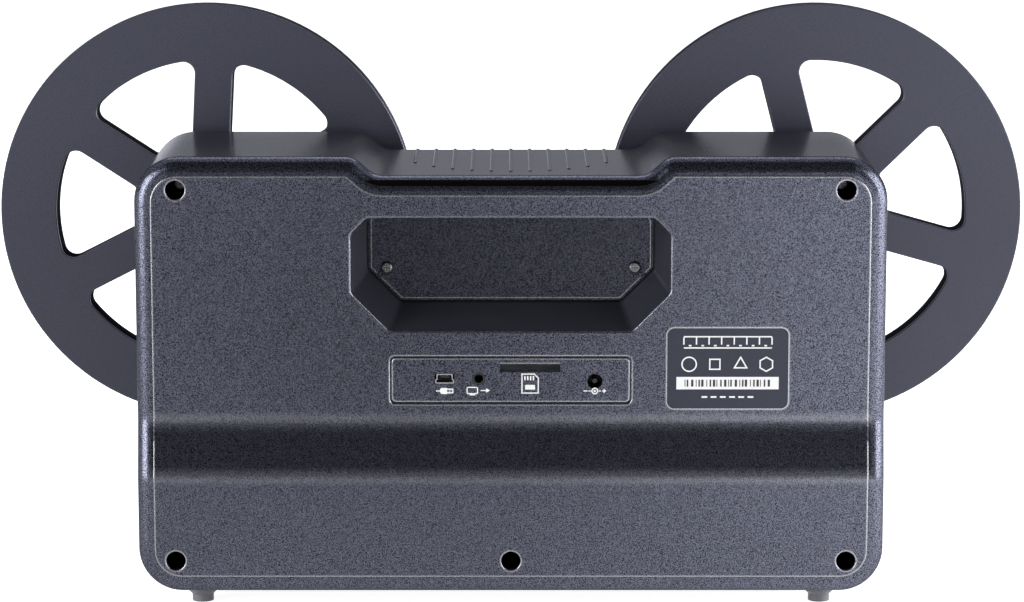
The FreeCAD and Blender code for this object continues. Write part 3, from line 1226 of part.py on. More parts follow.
def make_feet(model):
    """Make the rubber feet."""
    neck = "body_bottom + shell_wall + thread_clearance"
    step = "body_bottom - foot_flange_height"
    profile = (("0", "0"), ("foot_pad_radius", "0"), ("foot_pad_radius", step),
               ("foot_flange_radius - foot_flange_slope", step),
               ("foot_flange_radius", step + " + foot_flange_slope"), ("foot_flange_radius", "body_bottom"),
               ("foot_stem_radius", "body_bottom"), ("foot_stem_radius", neck), ("foot_barb_radius", neck),
               ("foot_stem_radius", neck + " + foot_barb_height"), ("0", neck + " + foot_barb_height"))
    feet = [model.turned_upright(f"foot_{place}{side}", profile, side + "foot_x", "foot_" + place)
            for place in ("rear", "front") for side in ("-", "")]
    model.keep("rubber_feet", model.group("rubber_feet", *feet))


def make_ports(model):
    """Make the port plate and the label."""
    inside = ("port_sink", "port_back")
    blank = plate(model, "port_blank", ("port_right", "port_left"), inside, ("port_bottom", "port_top"),
                  "port_radius")
    surface = model.y("port_sink")
    face = model.round("port_face", blank, "port_round", lambda edge: flat_at(edge, surface))
    through = ("port_sink - 1", "port_back + 1")
    reach = "data_width / 2 + socket_gap"
    rise = "data_height / 2 + socket_gap"
    slot = ("card_x - card_slot_width / 2", "card_x + card_slot_width / 2")
    floor = "card_height - card_slot_height / 2"
    holes = [
        model.slab("data_hole", (f"data_x - ({reach})", f"data_x + {reach}"), through,
                   (f"port_height - ({rise})", f"port_height + {rise}")),
        model.rod("video_hole", "video_radius + socket_gap", through, "video_x", "port_height"),
        model.slab("card_hole", slot, through, (floor, "card_height + card_slot_height / 2")),
        model.rod("power_hole", "power_bore", through, "power_x", "power_height"),
    ]
    holes.append(model.shape("card_bevel", card_bevel(model)))
    model.keep("port_plate", model.cut("port_plate", face, *holes))
    model.keep("rating_label", plate(
        model, "rating_label", ("label_right + plate_gap", "label_left - plate_gap"),
        ("label_sink - label_gauge", "label_sink"), ("label_bottom + plate_gap", "label_top - plate_gap"),
        "label_radius"))


def card_bevel(model):
    """Return the cutter of the bevel below the card slot."""
    size = model.size
    surface = model.y("port_sink")
    floor = size("card_height") - size("card_slot_height") / 2
    bevel, extra = size("card_bevel"), 0.5
    corners = [(surface + extra, floor - bevel - extra, 0), (surface + extra, floor + extra, 0),
               (surface - bevel - extra, floor + extra, 0)]
    left = size("card_x") - size("card_slot_width") / 2
    face = Part.Face(rounded_wire(corners, lambda u, v: Vector(left, u, v)))
    return face.extrude(Vector(size("card_slot_width"), 0, 0))


def data_outline(model, wall):
    """Return the data port's stepped outline, inset by a distance."""
    size = model.size
    half, rise = size("data_width") / 2, size("data_height") / 2
    notch = size("data_notch")
    x, z = size("data_x"), size("port_height")
    corners = [(x - half, z - rise, 0.5), (x + half, z - rise, 0.5), (x + half, z - notch, 0.3),
               (x + half - notch, z, 0.3), (x + half - notch, z + rise, 0.3),
               (x - half + notch, z + rise, 0.3), (x - half + notch, z, 0.3), (x - half, z - notch, 0.3)]
    return inset_corners(corners, wall)


def make_data_port(model):
    """Make the data port with its tongue and contacts."""
    start = model.y(model.size("port_sink") + model.size("socket_gap"))
    back = model.y(model.size("port_sink") + model.size("data_length"))
    shell = prism(data_outline(model, 0), start, back)
    room = prism(data_outline(model, model.size("socket_wall")), start + 1, back + 2)
    roof = "port_height + data_height / 2"
    low = f"{roof} - 4 * socket_wall"
    tongue_start = "port_sink + 1"
    tongue = model.slab("data_tongue", ("data_x - data_width / 4", "data_x + data_width / 4"),
                        (tongue_start, "port_sink + data_length - 1"), (low, f"{roof} - 2 * socket_wall"))
    pieces = [model.shape("data_shell", shell.cut(room)), tongue]
    count = model.count("contact_count")
    for index in range(count):
        middle = f"data_x + {index - (count - 1) / 2} * contact_pitch"
        pieces.append(model.slab(f"data_contact_{index}",
                                 (f"{middle} - contact_width / 2", f"{middle} + contact_width / 2"),
                                 (f"{tongue_start} - contact_rise", "port_sink + data_length - 1"),
                                 (f"{low} - contact_rise", f"{roof} - 3 * socket_wall")))
    model.keep("data_port", model.fuse("data_port", *pieces))


def make_sockets(model):
    """Make the video jack, the card reader and the power jack."""
    body = model.slab("video_body", ("video_x - video_width / 2", "video_x + video_width / 2"),
                      ("port_back", "port_back + video_length"),
                      ("tray_post_end - video_width", "tray_post_end"))
    nose = model.rod("video_nose", "video_radius", ("port_sink + socket_gap", "port_back + 1"), "video_x",
                     "port_height")
    bore = model.rod("video_bore", "video_bore", ("0", "port_back + video_length - 2"), "video_x",
                     "port_height")
    model.keep("video_jack", model.cut("video_jack", model.fuse("video_solid", body, nose), bore))
    card = model.slab("card_shell", ("card_x - card_reader_width / 2", "card_x + card_reader_width / 2"),
                      ("port_back", "port_back + card_reader_length"),
                      ("board_top", "board_top + card_reader_height"))
    slot = model.slab("card_mouth", ("card_x - card_slot_width / 2", "card_x + card_slot_width / 2"),
                      ("0", "port_back + card_reader_length - 3"),
                      ("card_height - card_slot_height / 2", "card_height + card_slot_height / 2"))
    model.keep("card_reader", model.cut("card_reader", card, slot))
    case = model.slab("power_case", ("power_x - power_body / 2", "power_x + power_body / 2"),
                      ("port_back", "port_back + power_length"),
                      ("power_height - power_body / 2", "power_height + power_body / 2"))
    hollow = model.rod("power_hollow", "power_bore", ("0", "port_back + power_length - 3"), "power_x",
                       "power_height")
    pin = model.rod("power_pin", "power_pin_radius", ("port_back", "port_back + power_length - 1"),
                    "power_x", "power_height")
    model.keep("power_jack", model.fuse("power_jack", model.cut("power_open", case, hollow), pin))


def make_boards(model):
    """Make the main board, its tray and the display's ribbon."""
    board = model.slab("main_blank", ("board_right", "board_left"), ("board_rear", "board_front"),
                       ("tray_post_end", "board_top"))
    half = "power_body / 2 + notch_gap"
    notch = model.slab("power_notch", (f"power_x - ({half})", f"power_x + {half}"),
                       ("0", "port_back + power_length + notch_gap"), ("tray_post_end - 1", "board_top + 1"))
    half = "ribbon_width / 2 + 1"
    chips = [model.slab(name, x, depth, ("board_top", f"board_top + {height}"))
             for name, x, depth, height in CHIPS]
    chips.append(model.slab("ribbon_plug", (f"ribbon_x - ({half})", f"ribbon_x + {half}"),
                            ("ribbon_land - connector_height", "ribbon_land + connector_height"),
                            ("board_top", "board_top + connector_height")))
    holes = []
    posts = []
    for end in ("left", "right"):
        for row in ("rear", "front"):
            spot = ("tray_post_" + end, "tray_post_" + row)
            holes.append(model.post(f"board_hole_{end}_{row}", "small_screw_radius + screw_clearance", *spot,
                                    ("tray_post_end - 1", "board_top + 1")))
            posts.append((spot, f"tray_post_{end}_{row}"))
    model.keep("main_board", model.cut("main_board", model.fuse("main_parts", board, *chips), notch, *holes))
    shelf = model.slab("tray_shelf", ("board_right", "board_left"), ("tray_rear", "chassis_depth"),
                       ("tray_height", "tray_height + tray_gauge"))
    flange = model.slab("tray_flange", ("board_right", "board_left"),
                        ("chassis_depth - tray_gauge", "chassis_depth"),
                        ("tray_flange_bottom", "tray_height + tray_gauge"))
    solids = [model.post(name, "small_post_radius", *spot, ("tray_height", "tray_post_end"))
              for spot, name in posts]
    tools = [model.post(name + "_pilot", "small_screw_radius + thread_clearance", *spot,
                        ("tray_post_end - small_pilot_depth", "tray_post_end + 1")) for spot, name in posts]
    for end in ("left", "right"):
        tools.append(model.rod(f"tray_hole_{end}", "small_screw_radius + screw_clearance",
                               ("chassis_depth - tray_gauge - 1", "chassis_depth + 1"), "tray_post_" + end,
                               "tray_screw_z"))
    tray = model.fuse("tray_solids", shelf, flange, *solids)
    model.keep("board_tray", model.cut("board_tray", tray, *tools))
    model.keep("display_ribbon", model.shape("display_ribbon", ribbon_shape(model)))


def ribbon_shape(model):
    """Return the flat ribbon from the display's board to the main board."""
    size = model.size
    half = size("ribbon_gauge") / 2
    start = model.y(size("display_board_rear") - size("connector_height"))
    fall = model.y("ribbon_fall")
    land = model.y("ribbon_land")
    top, low = size("display_plug_z"), size("ribbon_pass_z")
    end = size("board_top") + size("connector_height")
    path = [(start, top), (fall, top), (fall, low), (land, low), (land, end)]
    bend = size("ribbon_bend")
    sides = []
    for sign in (1, -1):
        side = []
        for index, (u, v) in enumerate(path):
            before = path[max(index - 1, 0)]
            after = path[min(index + 1, len(path) - 1)]
            first = (math.copysign(1, u - before[0]) if u != before[0] else 0,
                     math.copysign(1, v - before[1]) if v != before[1] else 0)
            second = (math.copysign(1, after[0] - u) if u != after[0] else 0,
                      math.copysign(1, after[1] - v) if v != after[1] else 0)
            normals = {(-first[1], first[0]), (-second[1], second[0])} - {(0, 0), (-0.0, 0), (0, -0.0)}
            shift = [sum(normal[axis] for normal in normals) * half * sign for axis in (0, 1)]
            turn = first[0] * second[1] - first[1] * second[0]
            radius = bend - half * sign * turn if turn else 0
            side.append((u + shift[0], v + shift[1], radius))
        sides.append(side)
    outline = sides[1] + sides[0][::-1]
    x = size("ribbon_x") - size("ribbon_width") / 2
    face = Part.Face(rounded_wire(outline, lambda u, v: Vector(x, u, v)))
    return face.extrude(Vector(size("ribbon_width"), 0, 0))


def make_chassis(model):
    """Make the chassis plate and the bushes."""
    sheet = model.slab("chassis_sheet", ("-chassis_half_width", "chassis_half_width"),
                       ("chassis_depth", "chassis_front"), ("chassis_bottom", "chassis_top"))
    through = ("chassis_depth - 1", "chassis_front + 1")
    holes = []
    for side in ("-", ""):
        name = "left" if side else "right"
        holes.append(model.rod(name + "_grip_clearance", "post_radius + chassis_hole_gap", through,
                               side + "grip_screw_x", "grip_screw_z"))
        holes.append(model.rod(name + "_bush_seat", "rear_bush_radius + bush_clearance", through,
                               side + "spindle_x", "spindle_z"))
        for level in ("low", "high"):
            holes.append(model.rod(f"{name}_{level}_chassis_hole", "small_screw_radius + screw_clearance",
                                   through, side + "chassis_post_x", "chassis_post_" + level))
    holes.append(model.rod("crank_bush_seat", "crank_bush_radius + bush_clearance", through, "0",
                           "crank_height"))
    holes.append(model.rod("motor_seat", "motor_boss_radius + bush_clearance", through, "motor_x",
                           "spindle_z"))
    holes.append(model.rod("stepper_seat", "motor_boss_radius + bush_clearance", through, "stepper_x",
                           "crank_height"))
    holes.append(model.slab("ribbon_slot", ("ribbon_x - ribbon_width / 2 - ribbon_slot_gap",
                                            "ribbon_x + ribbon_width / 2 + ribbon_slot_gap"), through,
                            ("ribbon_pass_z - ribbon_slot_gap", "ribbon_pass_z + ribbon_slot_gap")))
    for end in ("left", "right"):
        holes.append(model.rod(f"tray_screw_hole_{end}", "small_screw_radius + screw_clearance", through,
                               "tray_post_" + end, "tray_screw_z"))
    model.keep("chassis_plate", model.cut("chassis_plate", sheet, *holes))
    bore = "shaft_radius + shaft_clearance"
    front = ((bore, "bush_inner_end"), ("bush_radius", "bush_inner_end"), ("bush_radius", "collar_end"),
             ("bush_flange_radius", "collar_end"), ("bush_flange_radius", "bush_end"), (bore, "bush_end"))
    rear = ((bore, "rear_bush_start"), ("rear_bush_radius", "rear_bush_start"),
            ("rear_bush_radius", "chassis_front"), ("bush_flange_radius", "chassis_front"),
            ("bush_flange_radius", "rear_bush_end"), (bore, "rear_bush_end"))
    bore = "crank_axle_radius + crank_clearance"
    crank = ((bore, "crank_bush_start"), ("crank_bush_radius", "crank_bush_start"),
             ("crank_bush_radius", "chassis_front"), ("rear_bush_radius", "chassis_front"),
             ("rear_bush_radius", "crank_bush_end"), (bore, "crank_bush_end"))
    bushes = [model.turned_forward("crank_bush", crank, "0", "crank_height")]
    for side in ("-", ""):
        for place, profile in (("front", front), ("rear", rear)):
            bushes.append(model.turned_forward(f"{place}_bush{side}", profile, side + "spindle_x",
                                               "spindle_z"))
    model.keep("shaft_bushes", model.group("shaft_bushes", *bushes))


def splines(model, name, side, gap, depth):
    """Return the drive splines of one spindle, grown by a gap."""
    keys = []
    for index in range(model.count("spline_count")):
        angle = 90 + 360 * index / model.count("spline_count")
        blank = model.slab(f"{name}_spline_{index}", ("0", f"nose_radius + spline_height + {gap}"), depth,
                           (f"-spline_width / 2 - {gap}", f"spline_width / 2 + {gap}"))
        turned = model.doc.addObject("Part::Compound", f"{name}_spline_turned_{index}")
        turned.Links = [blank]
        turned.Placement = FreeCAD.Placement(Vector(), FreeCAD.Rotation(Vector(0, -1, 0), angle))
        turned.setExpression("Placement.Base.x", model.text(side + "spindle_x"))
        turned.setExpression("Placement.Base.z", model.text("spindle_z"))
        keys.append(turned)
    return keys


def make_spindle(model, name, side):
    """Make one spindle with its splines and its flip latch."""
    spot = (side + "spindle_x", "spindle_z")
    profile = (("0", "shaft_start"), ("shaft_radius", "shaft_start"), ("shaft_radius", "seat_start"),
               ("seat_radius", "seat_start"), ("seat_radius", "reel_start"), ("nose_radius", "reel_start"),
               ("nose_radius", "spindle_tip_depth - nose_round"),
               ("nose_radius - nose_round", "spindle_tip_depth"), ("0", "spindle_tip_depth"))
    shaft = model.turned_forward(name + "_shaft", profile, *spot)
    solid = model.fuse(name + "_solid", shaft,
                       *splines(model, name, side, "0", ("reel_start - 1", "reel_end - 1")))
    half_slot = "(latch_gauge / 2 + latch_gap)"
    slot = model.slab(name + "_slot", (spot[0] + " - seat_radius", spot[0] + " + seat_radius"),
                      ("slot_depth", "spindle_tip_depth + 1"),
                      (f"spindle_z - {half_slot}", f"spindle_z + {half_slot}"))
    hole = model.post(name + "_pivot_hole", "latch_pin_radius + latch_pin_clearance", spot[0], "latch_depth",
                      ("spindle_z - seat_radius", "spindle_z + seat_radius"))
    model.keep(name + "_spindle", model.cut(name + "_spindle", solid, slot, hole))
    blank = model.slab(name + "_latch_blank",
                       (spot[0] + " - latch_half_length", spot[0] + " + latch_half_length"),
                       ("latch_depth - latch_half_width", "latch_depth + latch_half_width"),
                       ("spindle_z - latch_gauge / 2", "spindle_z + latch_gauge / 2"))
    bar = model.round(name + "_latch_bar", blank, "latch_pin_radius", is_upright)
    pin = model.post(name + "_trunnion", "latch_pin_radius", spot[0], "latch_depth",
                     ("spindle_z - latch_pin_reach", "spindle_z + latch_pin_reach"))
    model.keep(name + "_latch", model.fuse(name + "_latch", bar, pin))


def reel_windows(model, side, angle, start, end):
    """Return the cutter for a flange's windows between parallel-sided spokes."""
    size = model.size
    length = end - start
    ring = Part.makeCylinder(size("window_outer_radius"), length)
    ring = ring.cut(Part.makeCylinder(size("window_inner_radius"), length))
    width = size("spoke_width")
    for index in range(model.count("spoke_count")):
        spoke = Part.makeBox(size("flange_radius"), width, length, Vector(0, -width / 2, 0))
        spoke.rotate(Vector(), Vector(0, 0, 1), 360 * index / model.count("spoke_count"))
        ring = ring.cut(spoke)
    corners = [edge for edge in ring.Edges if edge.BoundBox.ZLength > length / 2]
    ring = ring.makeFillet(size("reel_window_corner"), corners)
    x = size("spindle_x") if side == "" else -size("spindle_x")
    return stand_forward(ring, x, model.y(start), size("spindle_z"), size(angle))


def bevel_windows(model, name, flange, side, face):
    """Bevel the edges of a flange's windows in one face."""
    x = model.size("spindle_x") * (-1 if side else 1)
    z = model.size("spindle_z")

    def at_window(edge):
        point = edge.Vertexes[0].Point
        reach = math.hypot(point.x - x, point.z - z)
        inside = model.size("window_inner_radius") - 0.1 < reach < model.size("window_outer_radius") + 0.1
        return inside and flat_at(edge, model.y(face))

    return model.round(name, flange, "reel_bevel", at_window, "Part::Chamfer")


def make_reel(model, name, side, angle):
    """Make one reel as a core half, which carries the rear flange, and a front flange."""
    spot = (side + "spindle_x", "spindle_z")
    size = model.size
    web = "reel_start + flange_gauge"
    rim = "reel_start + rim_gauge"
    inner_hub = "hub_radius - hub_wall"
    bevelled = "flange_radius - reel_bevel"
    profile = (("reel_bore", "reel_start"), (bevelled, "reel_start"),
               ("flange_radius", "reel_start + reel_bevel"), ("flange_radius", rim + " - reel_bevel"),
               (bevelled, rim), ("flange_radius - rim_width", rim),
               ("flange_radius - rim_width", web), ("hub_radius", web), ("hub_radius", "front_flange_start"),
               (inner_hub, "front_flange_start"), (inner_hub, web), ("hub_boss_radius", web),
               ("hub_boss_radius", "reel_end"), ("reel_bore", "reel_end"))
    core = model.turned_forward(name + "_core_blank", profile, *spot)
    rear = reel_windows(model, side, angle, size("reel_start") - 1,
                        size("reel_start") + size("rim_gauge") + 1)
    tools = [model.shape(name + "_rear_windows", rear)]
    tools += splines(model, name + "_bore", side, "spline_clearance", ("reel_start - 1", "reel_end + 1"))
    core = model.cut(name + "_core_cut", core, *tools)
    model.keep(name + "_reel_core", bevel_windows(model, name + "_reel_core", core, side, "reel_start"))
    rim = "reel_end - rim_gauge"
    eye = "hub_boss_radius + plate_gap"
    profile = ((eye, "front_flange_start"), ("flange_radius - rim_width", "front_flange_start"),
               ("flange_radius - rim_width", rim), (bevelled, rim), ("flange_radius", rim + " + reel_bevel"),
               ("flange_radius", "reel_end - reel_bevel"), (bevelled, "reel_end"), (eye, "reel_end"))
    flange = model.turned_forward(name + "_front_blank", profile, *spot)
    front = reel_windows(model, side, angle, size("reel_end") - size("rim_gauge") - 1, size("reel_end") + 1)
    flange = model.cut(name + "_flange_cut", flange, model.shape(name + "_front_windows", front))
    model.keep(name + "_reel_flange", bevel_windows(model, name + "_reel_flange", flange, side, "reel_end"))


def make_friction(model):
    """Make the supply side's brake and the take-up side's slip clutch."""
    sleeve_bore = "shaft_radius"
    for name, side, start, middle, end, sleeve_end in (
            ("brake", "-", "brake_start", "brake_end", "brake_disc_end", "brake_disc_end + disc_gauge * 2"),
            ("clutch", "", "felt_start", "felt_end", "disc_end", "bush_inner_end - running_gap")):
        spot = (side + "spindle_x", "spindle_z")
        ring = (("felt_inner_radius", start), ("felt_outer_radius", start), ("felt_outer_radius", middle),
                ("felt_inner_radius", middle))
        model.keep(name + "_felt", model.turned_forward(name + "_felt", ring, *spot))
        disc = ((sleeve_bore, middle), ("disc_radius", middle), ("disc_radius", end),
                ("disc_sleeve_radius", end), ("disc_sleeve_radius", sleeve_end), (sleeve_bore, sleeve_end))
        model.keep(name + "_disc", model.turned_forward(name + "_disc", disc, *spot))
    size = model.size
    wire, radius = size("spring_wire"), size("spring_radius")
    low = size("rear_bush_end") + size("running_gap") + wire
    length = size("gear_start") - size("running_gap") - wire - low
    helix = Part.makeHelix(length / size("spring_turns"), length, radius)
    section = [Vector(radius - wire, 0, -wire), Vector(radius + wire, 0, -wire),
               Vector(radius + wire, 0, wire), Vector(radius - wire, 0, wire)]
    coil = Part.Wire(helix.Edges).makePipeShell([Part.makePolygon(section + section[:1])], True, True)
    coil = stand_forward(coil, size("spindle_x"), model.y(low), size("spindle_z"))
    model.keep("clutch_spring", model.shape("clutch_spring", coil))


def motor(model, name, radius, length, x, z):
    """Return a motor behind the chassis plate, whose bore holds the pinion's shaft."""
    can = model.rod(name + "_can", radius, (f"chassis_depth - {length}", "chassis_depth"), x, z)
    boss = model.rod(name + "_boss", "motor_boss_radius",
                     ("chassis_depth - 1", "chassis_depth + motor_boss_height"), x, z)
    bore = model.rod(name + "_bore", "motor_shaft_radius + motor_shaft_clearance",
                     ("chassis_depth - motor_shaft_reach - 1", "chassis_depth + motor_boss_height + 1"),
                     x, z)
    return model.cut(name, model.fuse(name + "_solid", can, boss), bore)


def make_drive(model):
    """Make the take-up motor, its pinion and the take-up gear."""
    size = model.size
    play, width = size("backlash"), size("gear_width")
    y, z = model.y("gear_start"), size("spindle_z")
    bore = size("shaft_radius") + size("gear_clearance")
    gear = gear_shape(model.count("takeup_teeth"), size("gear_module"), play, width, bore)
    model.keep("takeup_gear", model.shape("takeup_gear", stand_forward(gear, size("spindle_x"), y, z)))
    teeth = model.count("pinion_teeth")
    pinion = stand_forward(gear_shape(teeth, size("gear_module"), play, width, 0), size("motor_x"), y, z,
                           180 / teeth)
    shaft = model.rod("takeup_motor_shaft", "motor_shaft_radius",
                      ("chassis_depth - motor_shaft_reach", "gear_end"), "motor_x", "spindle_z")
    ring = model.shape("takeup_pinion_teeth", pinion)
    model.keep("takeup_pinion", model.fuse("takeup_pinion", ring, shaft))
    model.keep("takeup_motor", motor(model, "takeup_motor", "motor_radius", "motor_length", "motor_x",
                                     "spindle_z"))


def make_advance(model):
    """Make the film advance motor, its pinion and the crank gear."""
    size = model.size
    play, width = size("backlash"), size("crank_width")
    y, z = model.y("crank_start"), size("crank_height")
    gear = gear_shape(model.count("crank_teeth"), size("crank_module"), play, width, 0)
    wheel = model.shape("crank_teeth", stand_forward(gear, 0, y, z))
    hub = model.rod("crank_hub", "crank_hub_radius", ("crank_bush_end + running_gap", "crank_start + 1"),
                    "0", "crank_height")
    axle = model.rod("crank_axle", "crank_axle_radius", ("crank_axle_start", "crank_start + 1"), "0",
                     "crank_height")
    pin = model.rod("crank_pin", "crank_pin_radius", ("crank_end - 1", "claw_start - running_gap"),
                    "0", "crank_height + claw_stroke")
    model.keep("crank_gear", model.fuse("crank_gear", wheel, hub, axle, pin))
    teeth = model.count("pinion_teeth")
    pinion = stand_forward(gear_shape(teeth, size("crank_module"), play, width, 0), size("stepper_x"), y, z,
                           180 / teeth)
    shaft = model.rod("advance_motor_shaft", "motor_shaft_radius",
                      ("chassis_depth - motor_shaft_reach", "crank_end"), "stepper_x", "crank_height")
    ring = model.shape("advance_pinion_teeth", pinion)
    model.keep("advance_pinion", model.fuse("advance_pinion", ring, shaft))
    model.keep("advance_motor", motor(model, "advance_motor", "stepper_radius", "stepper_length",
                                      "stepper_x", "crank_height"))


def make_claw(model):
    """Make the film claw and the studs that it slides on."""
    studs = []
    for side in ("-", ""):
        spot = (side + "claw_stud_x", "claw_stud_z")
        profile = (("0", "claw_start - running_gap - claw_gauge"),
                   ("claw_stud_head", "claw_start - running_gap - claw_gauge"),
                   ("claw_stud_head", "claw_start - running_gap"),
                   ("claw_stud_radius", "claw_start - running_gap"), ("claw_stud_radius", "face_depth"),
                   ("0", "face_depth"))
        studs.append(model.turned_forward("claw_stud" + side, profile, *spot))
    model.keep("claw_studs", model.group("claw_studs", *studs))
    gauge = ("claw_start", "claw_front")
    sheet = model.slab("claw_sheet", ("-claw_half_width", "claw_half_width"), gauge,
                       ("claw_bottom", "claw_top"))
    half_arm = "claw_arm_width / 2"
    leg = model.slab("claw_leg", ("claw_half_width - 2 * claw_arm_width", f"claw_arm_x + {half_arm}"),
                     gauge, ("claw_arm_bottom", "claw_bottom + claw_arm_width"))
    arm = model.slab("claw_arm", (f"claw_arm_x - {half_arm}", f"claw_arm_x + {half_arm}"),
                     ("claw_start", "claw_arm_end"),
                     ("claw_arm_bottom", "claw_arm_bottom + claw_arm_height"))
    half_tooth = "claw_tooth_width / 2"
    tooth = model.slab("claw_tooth", (f"claw_arm_x - {half_tooth}", f"claw_arm_x + {half_tooth}"),
                       ("claw_arm_end - claw_tooth_width", "claw_arm_end"),
                       ("claw_arm_bottom - claw_tooth_length", "claw_arm_bottom"))
    wide = "claw_stud_radius + claw_stroke + claw_end_gap"
    tall = "claw_stud_radius + claw_slot_gap"
    slots = []
    for side in ("-", ""):
        middle = side + "claw_stud_x"
        slots.append(model.slab("claw_slot" + side, (f"{middle} - ({wide})", f"{middle} + {wide}"),
                                ("claw_start - 1", "claw_front + 1"),
                                (f"claw_stud_z - ({tall})", f"claw_stud_z + {tall}")))
    reach = "claw_stroke + crank_pin_radius + claw_end_gap"
    half_slot = "crank_pin_radius + claw_slot_gap"
    slots.append(model.slab("crank_slot", (f"-({half_slot})", half_slot),
                            ("claw_start - 1", "claw_front + 1"),
                            (f"crank_height - ({reach})", f"crank_height + {reach}")))
    model.keep("film_claw", model.cut("film_claw", model.fuse("claw_solid", sheet, leg, arm, tooth), *slots))


def gate_shell(model):
    """Return the gate block's hollow shell with its film channel and its windows."""
    inside = ("-gate_half_width + gate_wall", "gate_half_width - gate_wall")
    hollow = ("face_depth - 1", "gate_face - gate_wall")
    middle = "film_middle"
    blank = model.slab("gate_blank", ("-gate_half_width", "gate_half_width"), ("face_depth", "gate_face"),
                       ("gate_bottom", "gate_top"))
    back = model.y("face_depth") - 1e-3
    block = model.round("gate_outside", blank, "gate_radius", lambda edge: edge.BoundBox.YMin < back)
    rooms = [
        model.slab("lamp_room", inside, hollow, ("gate_bottom + gate_wall", "track_bottom")),
        model.slab("lens_room", inside, hollow, ("ceiling_top", "gate_top - gate_wall")),
        model.slab("claw_room", inside, ("face_depth - 1", "channel_rear"),
                   ("track_bottom - 1", "ceiling_top + 1")),
        model.slab("film_channel", ("-gate_half_width - 1", "gate_half_width + 1"),
                   ("channel_start", "gate_face + 1"), ("film_height", "channel_top")),
    ]
    half_claw = "claw_arm_width / 2 + claw_stroke + claw_end_gap"
    openings = [
        model.slab("claw_window", (f"claw_arm_x - ({half_claw})", f"claw_arm_x + {half_claw}"),
                   ("channel_rear - 1", "channel_start + 1"),
                   ("claw_arm_bottom - claw_tooth_length - claw_end_gap",
                    "claw_arm_bottom + claw_arm_height + claw_end_gap")),
        model.slab("aperture", ("-frame_window", "frame_window"),
                   (f"{middle} - frame_window", f"{middle} + frame_window"),
                   ("channel_top - 1", "ceiling_top + 1")),
        model.slab("diffuser_seat", ("-diffuser_half_width", "diffuser_half_width"),
                   (f"{middle} - diffuser_half_depth", f"{middle} + diffuser_half_depth"),
                   ("film_height - diffuser_gauge", "film_height + 1")),
        model.slab("diffuser_light",
                   ("-diffuser_half_width + diffuser_lip", "diffuser_half_width - diffuser_lip"),
                   (f"{middle} - diffuser_half_depth + diffuser_lip",
                    f"{middle} + diffuser_half_depth - diffuser_lip"), ("track_bottom - 1", "film_height")),
    ]
    return model.cut("gate_shell", block, *rooms, *openings)


def make_gate(model):
    """Make the film gate's block with its posts, its lens carrier and its hinge ears."""
    middle = "film_middle"
    carrier = model.slab("lens_carrier", ("-gate_half_width + 1", "gate_half_width - 1"),
                         ("face_depth + 1", "gate_face - 1"), ("carrier_height", "carrier_top"))
    solids = [gate_shell(model), carrier]
    holes = [model.post("lens_hole", "lens_radius + lens_fit", "0", middle,
                        ("carrier_height - 1", "carrier_top + 1"))]
    thread = "small_screw_radius + thread_clearance"
    for side in ("-", ""):
        name = "left" if side else "right"
        for level in ("low", "high"):
            spot = (side + "gate_post_x", "gate_post_" + level)
            solids.append(model.rod(f"{name}_{level}_gate_post", "small_post_radius",
                                    ("face_depth", "face_depth + gate_post_length"), *spot))
            holes.append(model.rod(f"{name}_{level}_gate_pilot", thread,
                                   ("face_depth - 1", "face_depth + small_pilot_depth"), *spot))
        spot = (side + "sensor_post_x", "sensor_post_depth")
        solids.append(model.post(name + "_sensor_post", "small_screw_radius * 2", *spot,
                                 ("carrier_top - 1", "sensor_height")))
        holes.append(model.post(name + "_sensor_pilot", thread, *spot,
                                ("sensor_height - small_pilot_depth", "sensor_height + 1")))
        spot = (side + "lamp_post_x", middle)
        solids.append(model.post(name + "_lamp_post", "small_screw_radius * 2", *spot,
                                 ("gate_bottom + 1", "lamp_height")))
        holes.append(model.post(name + "_lamp_pilot", thread, *spot,
                                ("lamp_height - small_pilot_depth + 1", "lamp_height + 1")))
    for name, low, high in (("low", "door_bottom", "door_bottom + ear_height"),
                            ("high", "door_top - ear_height", "door_top")):
        solids.append(model.slab(name + "_ear_web", ("hinge_x - barrel_radius", "hinge_x + barrel_radius"),
                                 ("gate_face - 1", "hinge_depth"), (low, high)))
        solids.append(model.post(name + "_ear", "barrel_radius", "hinge_x", "hinge_depth", (low, high)))
    holes.append(model.post("hinge_hole", "hinge_pin_radius + hinge_clearance", "hinge_x", "hinge_depth",
                            ("door_bottom - 1", "door_top + 1")))
    model.keep("gate_block", model.cut("gate_block", model.fuse("gate_solids", *solids), *holes))


